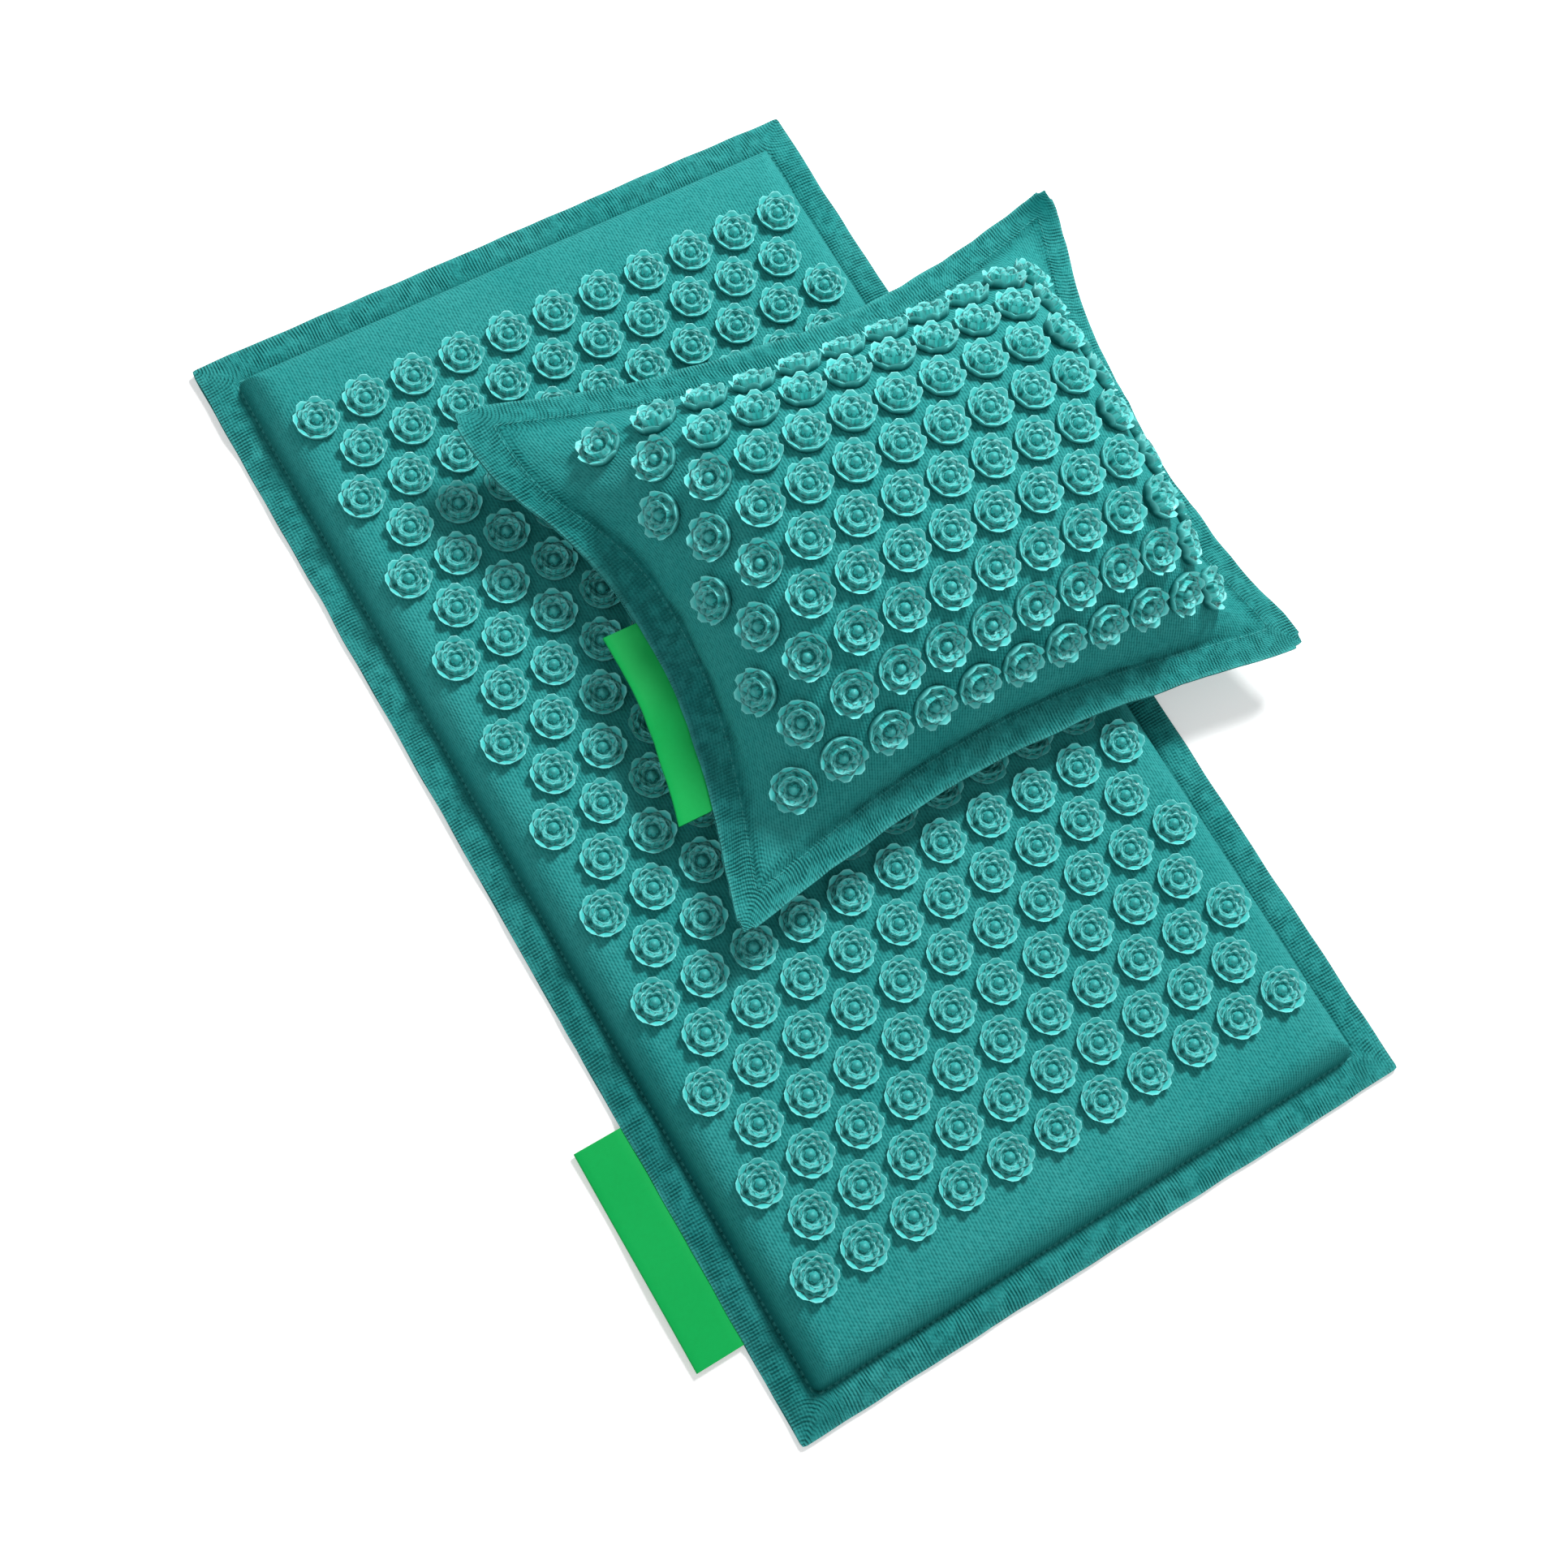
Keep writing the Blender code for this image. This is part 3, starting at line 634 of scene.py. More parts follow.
DISC_PLASTIC = Moulded(
    "teal_moulded_plastic",
    deep=(0.002, 0.115, 0.112, 1.0),
    base=(0.084, 0.690, 0.665, 1.0),
    pale=(0.300, 0.985, 0.960, 1.0),
    rings=(
        Petals(8, rim=1.00, run=0.24, scallop=0.09, depth=0.0012, turn=0.5),
        Petals(8, rim=0.82, run=0.26, scallop=0.15, depth=0.0036),
        Petals(5, rim=0.60, run=0.22, scallop=0.08, depth=0.0022),
        Petals(5, rim=0.43, run=0.17, scallop=0.07, depth=0.0016, turn=0.5),
    ),
)
COIR_FIBRE = Loose(
    "pressed_coir",
    base=(0.36, 0.22, 0.11, 1.0),
    deep=(0.14, 0.08, 0.035, 1.0),
    stretch=(1, 4, 6),
    scale=180.0,
)
HUSKS = Loose(
    "loose_husks",
    base=(0.10, 0.062, 0.036, 1.0),
    deep=(0.025, 0.015, 0.010, 1.0),
    stretch=(1, 1, 1),
    scale=220.0,
)


# Pieces


@dataclass(frozen=True)
class Workshop:
    """Turns finished shapes into pieces of the object."""

    effects: Effects
    nodes: dict[str, bpy.types.Object]
    finishes: dict[str, Material] = field(default_factory=dict)

    def material(self, finish: AnyFinish) -> Material:
        """Returns the finish's material, built once."""
        if finish.name not in self.finishes:
            self.finishes[finish.name] = finish.build(self.effects)
        return self.finishes[finish.name]

    def piece(
        self,
        name: str,
        shape: Shape,
        finish: AnyFinish,
        body: Body,
        slot: Slot,
        replaced: Sequence[str] = (),
        sharp_degrees: float = 50.0,
    ) -> bpy.types.Object:
        """Makes a piece from a shape, dresses it and lets it ride on its body.

        Args:
            name: The piece's name.
            shape: The finished shape, which is freed.
            finish: What the piece is made of.
            body: The body that it rides on.
            slot: The record's slot for its material; not used.
            replaced: The CAD nodes that it stands for.
            sharp_degrees: Edges sharper than this stay sharp.

        Returns:
            The piece.
        """
        for face in shape.faces:
            face.smooth = True
        mesh = as_mesh(shape, name)
        mesh.set_sharp_from_angle(angle=math.radians(sharp_degrees))
        mesh.materials.append(self.material(finish))
        made = in_scene(name, mesh)
        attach(made, body.value)
        if replaced:
            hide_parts(*replaced)
        log.info("%s: %d faces on %s", name, len(mesh.polygons), body.value)
        return made

    def redress(self, names: Iterable[str], finish: AnyFinish) -> None:
        """Gives CAD nodes that stay in view the finish's material."""
        for name in names:
            materials = self.nodes[name].data.materials
            materials.clear()
            materials.append(self.material(finish))
            log.info("%s: redressed", name)


def as_mesh(shape: Shape, name: str) -> bpy.types.Mesh:
    """Returns a shape as a mesh, and frees it."""
    mesh = bpy.data.meshes.new(name)
    shape.to_mesh(mesh)
    shape.free()
    return mesh


def in_scene(name: str, data: bpy.types.ID) -> bpy.types.Object:
    """Returns a new object with this data, linked to the scene."""
    made = bpy.data.objects.new(name, data)
    bpy.context.scene.collection.objects.link(made)
    return made


def vertex_layer(shape: Shape, name: str) -> Layer:
    """Returns a named number on each vertex, made if it is missing."""
    layers = shape.verts.layers.float
    return layers.get(name) or layers.new(name)


def vertex_layers(shape: Shape, names: Iterable[str]) -> list[Layer]:
    """Returns several named numbers on each vertex, made where they are missing."""
    return [vertex_layer(shape, name) for name in names]


def note(shape: Shape, vertex: Vertex, values: dict[str, float]) -> None:
    """Writes named numbers on a vertex."""
    for name, value in values.items():
        vertex[vertex_layer(shape, name)] = value


def boundary(shape: Shape) -> list[Edge]:
    """Returns the open edges."""
    return [edge for edge in shape.edges if edge.is_boundary]


def grow(shape: Shape, row: Iterable[Edge]) -> tuple[list[Vertex], list[Edge]]:
    """Extrudes a row of edges, and carries the numbers on its vertices along.

    Args:
        shape: The shape that the row bounds.
        row: The edges.

    Returns:
        The new row's vertices and its edges.
    """
    parts = bmesh.ops.extrude_edge_only(shape, edges=list(row))["geom"]
    verts = [part for part in parts if isinstance(part, Vertex)]
    members = set(verts)
    edges = [part for part in parts if isinstance(part, Edge) and members.issuperset(part.verts)]
    return verts, edges


def ring_edges(ring: Iterable[Vertex]) -> list[Edge]:
    """Returns the edges that join a ring's vertices."""
    members = set(ring)
    return list({edge for vertex in members for edge in vertex.link_edges if members.issuperset(edge.verts)})


def thicken(shape: Shape, thickness: float, outward: Vector | None = None) -> None:
    """Turns a sheet's faces one way and gives it thickness behind them.

    Args:
        shape: The sheet.
        thickness: How thick it becomes.
        outward: A direction that most faces should look along, or None to leave them.
    """
    if outward is not None:
        total = sum((face.normal * face.calc_area() for face in shape.faces), Vector())
        if total.dot(outward) < 0:
            bmesh.ops.reverse_faces(shape, faces=shape.faces)
    shape.normal_update()
    bmesh.ops.solidify(shape, geom=shape.faces[:], thickness=thickness)
    bmesh.ops.recalc_face_normals(shape, faces=shape.faces)


@dataclass(frozen=True)
class ClothTrial:
    """A short cloth simulation that swells a sheet and lets its slack buckle."""

    mass: float = 0.01
    pressure: float = 8.0
    slack: float = 0.07
    cap: float = 0.006
    frames: int = 16
    quality: int = 5
    stiffness: float = 20.0
    bending: float = 0.01

    def run(self, shape: Shape) -> list[Vector]:
        """Simulates a copy of the sheet.

        Args:
            shape: The sheet, with layers held and slack from 0 to 1.

        Returns:
            How far each vertex moves, never further than the cap.
        """
        shape.verts.ensure_lookup_table()
        mesh = bpy.data.meshes.new("cloth_trial")
        shape.to_mesh(mesh)
        trial = in_scene("cloth_trial", mesh)
        for name in TRIAL_LAYERS:
            group = trial.vertex_groups.new(name=name)
            layer = vertex_layer(shape, name)
            for vertex in shape.verts:
                group.add([vertex.index], clamp(vertex[layer]), "REPLACE")
        modifier = trial.modifiers.new("cloth", "CLOTH")
        modifier.point_cache.frame_start = 1
        modifier.point_cache.frame_end = self.frames
        self._set_up(modifier.settings)
        scene = bpy.context.scene
        for frame in range(1, self.frames + 1):
            scene.frame_set(frame)
        after = trial.evaluated_get(bpy.context.evaluated_depsgraph_get()).data
        moves = [self._capped(after.vertices[vertex.index].co - vertex.co) for vertex in shape.verts]
        scene.frame_set(1)
        bpy.data.objects.remove(trial)
        bpy.data.meshes.remove(mesh)
        furthest = max(move.length for move in moves)
        log.info("cloth trial: %d vertices, furthest move %.1f mm", len(moves), 1000 * furthest)
        return moves

    def _set_up(self, settings: bpy.types.ClothSettings) -> None:
        """Sets the cloth's weight, stiffness, pressure and slack."""
        settings.quality = self.quality
        settings.mass = self.mass
        settings.tension_stiffness = self.stiffness
        settings.compression_stiffness = self.stiffness
        settings.shear_stiffness = self.stiffness / 2
        settings.bending_stiffness = self.bending
        settings.effector_weights.gravity = 0.0
        settings.use_pressure = True
        settings.uniform_pressure_force = self.pressure
        settings.vertex_group_mass, settings.vertex_group_shrink = TRIAL_LAYERS
        settings.shrink_min = 0.0
        settings.shrink_max = -self.slack

    def _capped(self, move: Vector) -> Vector:
        """Returns a move, shortened softly so that it stays under the cap."""
        if move.length < 1e-7:
            return Vector()
        return move.normalized() * self.cap * math.tanh(move.length / self.cap)


def circle(shape: Shape, sides: int, radius: float, level: float) -> list[Edge]:
    """Returns the edges of a new ring at this height."""
    ring = bmesh.ops.create_circle(shape, segments=sides, radius=radius)["verts"]
    bmesh.ops.translate(shape, verts=ring, vec=(0, 0, level))
    return ring_edges(ring)


@dataclass(frozen=True)
class Crown:
    """A ring of upright petals and the hollow inside it."""

    petals: int
    sides: int
    foot: float
    sunk: float
    rim: float
    hollow: float
    tip: float
    dip: float
    floor: float
    scallop: float
    turn: float = 0.0
    point_power: float = 0.8
    scallop_power: float = 0.6

    def add(self, shape: Shape) -> None:
        """Extrudes the foot up to the petals' edge and down into the hollow, and closes the floor."""
        row = circle(shape, self.sides, self.foot, self.sunk)
        for place in (self.rim_place, self.hollow_place):
            ring, row = grow(shape, row)
            for vertex in ring:
                vertex.co = place(math.atan2(vertex.co.y, vertex.co.x))
        bmesh.ops.edgeloop_fill(shape, edges=row)

    def rim_place(self, angle: float) -> Vector:
        """Returns where the petals' edge lies in this direction, highest in the middle of a petal."""
        share = abs(math.cos(self.petals * angle / 2 + math.pi * self.turn))
        radius = self.rim - self.scallop * (1 - share**self.scallop_power)
        return polar(angle, radius, self.dip + (self.tip - self.dip) * share**self.point_power)

    def hollow_place(self, angle: float) -> Vector:
        """Returns where the hollow's floor starts in this direction."""
        return polar(angle, self.hollow, self.floor)


def polar(angle: float, radius: float, height: float) -> Vector:
    """Returns the place in this direction, at this radius and height."""
    return Vector((radius * math.cos(angle), radius * math.sin(angle), height))


@dataclass(frozen=True)
class Boss:
    """The smooth button in a disc's middle."""

    radius: float = 0.0034
    taper: float = 0.66
    base: float = 0.0024
    height: float = 0.0056
    segments: int = 8

    def add(self, shape: Shape) -> None:
        """Extrudes the button upwards into a narrower ring and caps it."""
        ring, row = grow(shape, circle(shape, self.segments, self.radius, self.base))
        bmesh.ops.scale(shape, verts=ring, vec=(self.taper, self.taper, 1))
        bmesh.ops.translate(shape, verts=ring, vec=(0, 0, self.height - self.base))
        bmesh.ops.edgeloop_fill(shape, edges=row)


OUTER_CROWN = Crown(
    8,
    24,
    foot=0.0124,
    sunk=-0.0014,
    rim=DISC_RADIUS,
    hollow=0.0092,
    tip=0.0060,
    dip=0.0030,
    floor=0.0016,
    scallop=0.0012,
    turn=0.5,
)
INNER_CROWN = Crown(
    5,
    10,
    foot=0.0082,
    sunk=0.0012,
    rim=0.0088,
    hollow=0.0044,
    tip=0.0074,
    dip=0.0046,
    floor=0.0024,
    scallop=0.0010,
)


@dataclass(frozen=True)
class Disc:
    """The moulded disc: two upright crowns of petals with a button in their middle.

    It is repeated hundreds of times, so its faces are few and its finish adds the finer petals.
    """

    parts: tuple[Crown | Boss, ...] = (OUTER_CROWN, INNER_CROWN, Boss())

    def template(self) -> bpy.types.Mesh:
        """Returns one disc standing on z = 0, with layers that tell the finish where a point lies on it."""
        shape = bmesh.new()
        across, along, skirt = vertex_layers(shape, DISC_LAYERS)
        for part in self.parts:
            part.add(shape)
        bmesh.ops.recalc_face_normals(shape, faces=shape.faces)
        for vertex in shape.verts:
            vertex[across] = vertex.co.x / DISC_RADIUS
            vertex[along] = vertex.co.y / DISC_RADIUS
            # Marks the foot ring, where the finish paints shade on the outer wall.
            vertex[skirt] = float(vertex.co.z < 0)
        return as_mesh(shape, "disc_template")

    def scatter(self, places: Iterable[Matrix]) -> Shape:
        """Returns one shape that holds a copy of the disc at each place."""
        template = self.template()
        shape = bmesh.new()
        for place in places:
            copy = template.copy()
            copy.transform(place)
            shape.from_mesh(copy)
            bpy.data.meshes.remove(copy)
        bpy.data.meshes.remove(template)
        return shape


@dataclass(frozen=True)
class DiscField:
    """Staggered rows of discs, of which every second row is one disc shorter."""

    columns: int
    rows: int
    pitch: float
    row_step: float

    def places(self) -> list[tuple[float, float]]:
        """Returns the disc centres on the flat."""
        found = []
        for row in range(self.rows):
            count = self.columns - row % 2
            y = (row - (self.rows - 1) / 2) * self.row_step
            found += [((column - (count - 1) / 2) * self.pitch, y) for column in range(count)]
        return found


@dataclass(frozen=True)
class Label:
    """A ribbon folded in two and sewn into a flange by its ends."""

    length: float
    reach: float
    tuck: float = 0.010
    fold_radius: float = 0.00055
    fold_steps: int = 6
    run_steps: int = 10
    length_steps: int = 24

    @property
    def flat(self) -> tuple[float, float]:
        """The ribbon's size before it is folded."""
        return self.length, 2 * (self.reach + self.tuck)

    def shape(self, place: LabelPlace) -> Shape:
        """Sweeps the folded section along the label.

        Args:
            place: Gives a point from how far it reaches out, its height and its share of the length.

        Returns:
            The ribbon.
        """
        shape = bmesh.new()
        layers = vertex_layers(shape, ("out", "up"))
        row = [shape.verts.new((out, 0, up)) for out, up in self._section()]
        edges = [shape.edges.new(pair) for pair in zip(row, row[1:])]
        for vertex in row:
            for layer, value in zip(layers, vertex.co.xz):
                vertex[layer] = value
        for step in range(self.length_steps + 1):
            if step:
                row, edges = grow(shape, edges)
            for vertex in row:
                vertex.co = place(*(vertex[layer] for layer in layers), step / self.length_steps)
        thicken(shape, RIBBON_THICKNESS)
        return shape

    def _section(self) -> list[tuple[float, float]]:
        """Returns the fold's section as points of reach and height, from the lower ply to the upper."""
        radius = self.fold_radius
        straight = self.reach - radius
        span = straight + self.tuck
        runs = [-self.tuck + span * step / self.run_steps for step in range(self.run_steps + 1)]
        angles = [step / self.fold_steps * math.pi for step in range(1, self.fold_steps)]
        arc = [(straight + radius * math.sin(angle), -radius * math.cos(angle)) for angle in angles]
        return [(run, -radius) for run in runs] + arc + [(run, radius) for run in reversed(runs)]


@dataclass(frozen=True)
class Mat:
    """The mat: a pad between two cloth covers that meet in a flange, with discs on top."""

    width: float = 0.420
    length: float = 0.730
    height: float = 0.027
    flange: float = 0.022
    wall_run: float = 0.026
    wall_ripple: float = 0.0009
    top_ripple: float = 0.0004
    pad_run: float = 0.019
    pad_gap: float = 0.008
    bevel_segments: int = 6
    fillet: float = 0.002
    outer_radius: float = 0.0014
    pad_radius: float = 0.0045
    label_to_end: float = 0.063
    label_fade: float = 0.006
    label_wave: float = 0.0007
    puff: float = 0.0027
    left_puff: float = 0.9
    flutter: float = 0.0012
    edge_drift: float = 0.0009
    drift_length: float = 0.030
    # Painted shade in the groove by the wall and on the lower left flange.
    crease_shade: float = 0.56
    crease_width: float = 0.0032
    left_shade: float = 0.30
    # Wear and painted highlight along the flange's outer edge.
    worn: float = 0.40
    step_fine: float = 0.0012
    step_flange: float = 0.0026
    step_top: float = 0.0045
    discs: DiscField = DiscField(columns=11, rows=21, pitch=0.03245, row_step=0.02903)
    label: Label = Label(length=0.137, reach=0.030)

    def build(self, shop: Workshop, disc: Disc) -> None:
        """Builds every piece of the mat.

        Args:
            shop: Makes the pieces.
            disc: The moulded disc.
        """
        body = Body.MAT
        cover = shop.piece("mat_cover", self.cover(), COVER_CLOTH, body, Slot.CLOTH, ["mat_top_cover"])
        places = [Matrix.Translation((x, y, self.height)) for x, y in self.discs.places()]
        discs = disc.scatter(places)
        shop.piece("mat_discs", discs, DISC_PLASTIC, body, Slot.DISC, sharp_degrees=DISC_SHARP_DEGREES)
        base = shop.piece("mat_base", self.base(), COVER_CLOTH, body, Slot.CLOTH, ["mat_bottom_cover"])
        pad = shop.piece("mat_pad", self.pad(), COIR_FIBRE, body, Slot.FIBRE, ["mat_core"])
        ribbon = shop.piece("mat_ribbon", self.ribbon(), LABEL_RIBBON, body, Slot.RIBBON, ["mat_label"])
        self.label.flat
        shop.redress(("mat_hook_strip", "mat_loop_strip"), CLOSURE_PILE)

    def stations(self, half: float) -> list[float]:
        """Returns grid lines from one edge to the other, close together at the walls.

        Args:
            half: Half the mat's size in this direction.

        Returns:
            The lines' places, in rising order.
        """
        fine_start = half - self.flange - self.wall_run - self.step_fine
        fine_end = half - self.flange + 4 * self.step_fine
        ends = (0.0, fine_start, fine_end, half)
        lines = [0.0]
        for start, end, step in zip(ends, ends[1:], (self.step_top, self.step_fine, self.step_flange)):
            count = max(1, round((end - start) / step))
            lines += [start + (end - start) * index / count for index in range(1, count + 1)]
        return [-line for line in reversed(lines[1:])] + lines

    def grid(self) -> Shape:
        """Returns a flat grid over the mat, with its lines at the stations."""
        across = self.stations(self.width / 2)
        along = self.stations(self.length / 2)
        shape = bmesh.new()
        bmesh.ops.create_grid(shape, x_segments=len(across) - 1, y_segments=len(along) - 1, size=1.0)
        for vertex in shape.verts:
            column = round((vertex.co.x + 1) * (len(across) - 1) / 2)
            row = round((vertex.co.y + 1) * (len(along) - 1) / 2)
            vertex.co = Vector((across[column], along[row], 0))
        return shape

    def inside(self, x: float, y: float, inset: float, radius: float) -> float:
        """Returns how far a point lies inside a rounded rectangle, less than 0 outside it.

        Args:
            x: The point's place across.
            y: The point's place along.
            inset: How far the rectangle lies inside the mat's edge.
            radius: The rectangle's corner radius.

        Returns:
            The distance to the rectangle's edge.
        """
        over_x = abs(x) - (self.width / 2 - inset - radius)
        over_y = abs(y) - (self.length / 2 - inset - radius)
        outside = math.hypot(max(over_x, 0.0), max(over_y, 0.0))
        return radius - outside - min(max(over_x, over_y), 0.0)

    def to_rim(self, x: float, y: float) -> float:
        """Returns how far a point lies inside the mat's outer edge."""
        return self.inside(x, y, 0.0, self.outer_radius)

    def to_pad(self, x: float, y: float) -> float:
        """Returns how far a point lies inside the raised part's foot."""
        return self.inside(x, y, self.flange, self.pad_radius)

    def outwardness(self, x: float, y: float) -> float:
        """Returns 1 at the flange's outer edge, 0 where the flange starts."""
        return 1 - smooth_step(self.to_rim(x, y), 0.0, self.flange)

    def drifted(self, x: float, y: float, seed: float) -> Vector:
        """Returns a point of the flat, moved a little where it lies near the wavering outer edge."""
        drift = self.edge_drift * self.outwardness(x, y)
        length = self.drift_length
        moved_x = x + drift * waver(x, y, length, seed) * (1 if x > 0 else -1)
        moved_y = y + drift * waver(x, y, length, seed + 5) * (1 if y > 0 else -1)
        corner = math.hypot(self.width / 2 - abs(x), self.length / 2 - abs(y))
        rounding = max(0.0, self.outer_radius - corner) * 0.4
        return Vector((moved_x - math.copysign(rounding, x), moved_y - math.copysign(rounding, y), 0))

    def raised(self, x: float, y: float) -> float:
        """Returns how far the flange's lower ply lifts off the floor."""
        return self.flutter * self.outwardness(x, y) * max(0.0, waver(x, y, 0.070, 3.0) + 0.15)

    @property
    def label_start(self) -> float:
        """Where the label starts along the mat."""
        return self.label_to_end - self.length / 2

    def stack(self, x: float, y: float) -> float:
        """Returns the height of what lies between the two plies of the flange."""
        closure = smooth_step(y, self.length / 2 - 3 * self.flange, self.length / 2 - 2 * self.flange)
        start, fade = self.label_start, self.label_fade
        end = start + self.label.length
        label = smooth_step(y, start - fade, start) * (1 - smooth_step(y, end, end + fade))
        ribbon = 2 * RIBBON_THICKNESS + 2 * LAYER_GAP
        strips = 2 * (STRIP_THICKNESS + LAYER_GAP)
        return LAYER_GAP + max(strips * closure, ribbon * label if x < 0 else 0.0)

    def cover_height(self, x: float, y: float) -> float:
        """Returns the height of the upper cover's outer face."""
        pad = self.to_pad(x, y)
        foot = 2 * COVER_THICKNESS + self.stack(x, y) + self.raised(x, y)
        if pad <= -self.fillet:
            across = clamp((-pad - self.fillet) / (self.flange - self.fillet))
            swollen = math.sin(math.pi * across**0.75) if across < 1 else 0.0
            ripple = 0.75 + 0.25 * waver(x, y, 0.026, 9.0)
            outward = 1.0 + self.left_puff * smooth_step(-y, -0.12, 0.16) * (x < -abs(y) * 0.1)
            return foot + self.puff * outward * swollen * ripple
        share = clamp((pad + self.fillet) / (self.wall_run + self.fillet))
        rise = 1 - (1 - share) ** 4
        ripple = self.wall_ripple * waver(x, y, 0.028, 12.0) * math.sin(math.pi * share) ** 2
        top = self.height + self.top_ripple * waver(x, y, 0.055, 7.0) * smooth_step(pad, 0.0, 0.030)
        return foot + (top - foot) * rise + ripple

    def base_height(self, x: float, y: float) -> float:
        """Returns the height of the lower cover's upper face."""
        return COVER_THICKNESS + self.raised(x, y)

    def cloth_runs(self) -> dict[float, float]:
        """Returns how far each lengthwise grid line lies from the left edge, measured along the cloth."""
        lines = self.stations(self.width / 2)
        points = [Vector((line, self.cover_height(line, 0.0))) for line in lines]
        runs = {round(lines[0], 6): 0.0}
        run = 0.0
        for line, start, end in zip(lines[1:], points, points[1:]):
            run += (end - start).length
            runs[round(line, 6)] = run
        return runs

    def crease(self, x: float, y: float) -> float:
        """Returns how much painted shade darkens the groove by the wall and the lower left flange."""
        dyed = self.left_shade * smooth_step(-x, 0.17, 0.19) * smooth_step(-y, -0.10, 0.20)
        # Painted shade: a band along the wall's foot plus the lower left flange.
        return self.crease_shade * bump(self.to_pad(x, y) + 0.0010, self.crease_width) + dyed

    def cover(self) -> Shape:
        """Models the upper cover: flange, groove, walls and top in one cloth."""
        runs = self.cloth_runs()
        return self.cloth(21.0, self.cover_height, self.crease, lambda x: runs[round(x, 6)])

    def base(self) -> Shape:
        """Models the lower cover, which lies flat and follows the flange's edge."""
        return self.cloth(33.0, self.base_height, lambda x, y: 0.0, lambda x: x)

    def cloth(
        self,
        seed: float,
        height: Callable[[float, float], float],
        crease: Callable[[float, float], float],
        rib_way: Callable[[float], float],
    ) -> Shape:
        """Models a cover, with what its finish needs as numbers on its vertices.

        Args:
            seed: Which of the noise's layers its outer edge follows.
            height: Gives the height at a place.
            crease: Gives how much painted shade darkens a place.
            rib_way: Gives where a point lies across the ribs.

        Returns:
            The cover.
        """
        shape = self.grid()
        vertex_layers(shape, CLOTH_LAYERS)
        for vertex in shape.verts:
            x, y = vertex.co.xy
            rim = self.to_rim(x, y)
            values = {
                "crease": crease(x, y),
                # Wear and painted highlight along the outer edge.
                "worn": self.worn * bump(rim, WORN_WIDTH),
                "gather": 1 - smooth_step(self.to_pad(x, y), -0.010, 0.004),
                "tip_way": from_corner(self.width / 2 - abs(x), self.length / 2 - abs(y)),
                "to_edge": rim,
                "rib_way": rib_way(x),
            }
            note(shape, vertex, values)
            vertex.co = self.drifted(x, y, seed)
            vertex.co.z = height(x, y)
        thicken(shape, COVER_THICKNESS, UP)
        return shape

    def pad(self) -> Shape:
        """Models the fibre pad inside the covers as a block with rounded corners and a rounded brim."""
        low = COVER_THICKNESS + LAYER_GAP
        top = self.height - COVER_THICKNESS - 8 * LAYER_GAP
        inset = self.flange + self.pad_gap
        shape = bmesh.new()
        size = (self.width - 2 * inset, self.length - 2 * inset, top - low)
        middle = Matrix.Translation((0, 0, (low + top) / 2))
        bmesh.ops.create_cube(shape, size=1.0, matrix=middle @ Matrix.Diagonal((*size, 1.0)))
        upright = [edge for edge in shape.edges if abs(edge.verts[0].co.z - edge.verts[1].co.z) > low]
        self.bevel(shape, upright, self.pad_radius)
        brim = [edge for edge in shape.edges if min(vertex.co.z for vertex in edge.verts) > top - LAYER_GAP]
        self.bevel(shape, brim, self.pad_run)
        bmesh.ops.recalc_face_normals(shape, faces=shape.faces)
        return shape

    def bevel(self, shape: Shape, edges: list[Edge], offset: float) -> None:
        """Rounds edges of the pad."""
        count = self.bevel_segments
        bmesh.ops.bevel(
            shape, geom=edges, offset=offset, segments=count, profile=0.5, affect="EDGES", material=-1
        )

    def ribbon(self) -> Shape:
        """Models the label, which lies in the left flange and sags a little outside it."""
        middle = COVER_THICKNESS + LAYER_GAP + self.label.fold_radius + RIBBON_THICKNESS / 2

        def place(out: float, up: float, share: float) -> Vector:
            """Returns a point of the label, as its shape asks for it."""
            y = self.label_start + share * self.label.length
            lift = self.raised(-self.width / 2, y)
            swing = math.sin(share * 2 * math.pi + 0.6)
            wave = self.label_wave * max(out, 0.0) / self.label.reach * swing
            level = middle + lift + up + wave + self.label_wave * bool(out > 0)
            return Vector((-self.width / 2 - out, y, level))

        return self.label.shape(place)


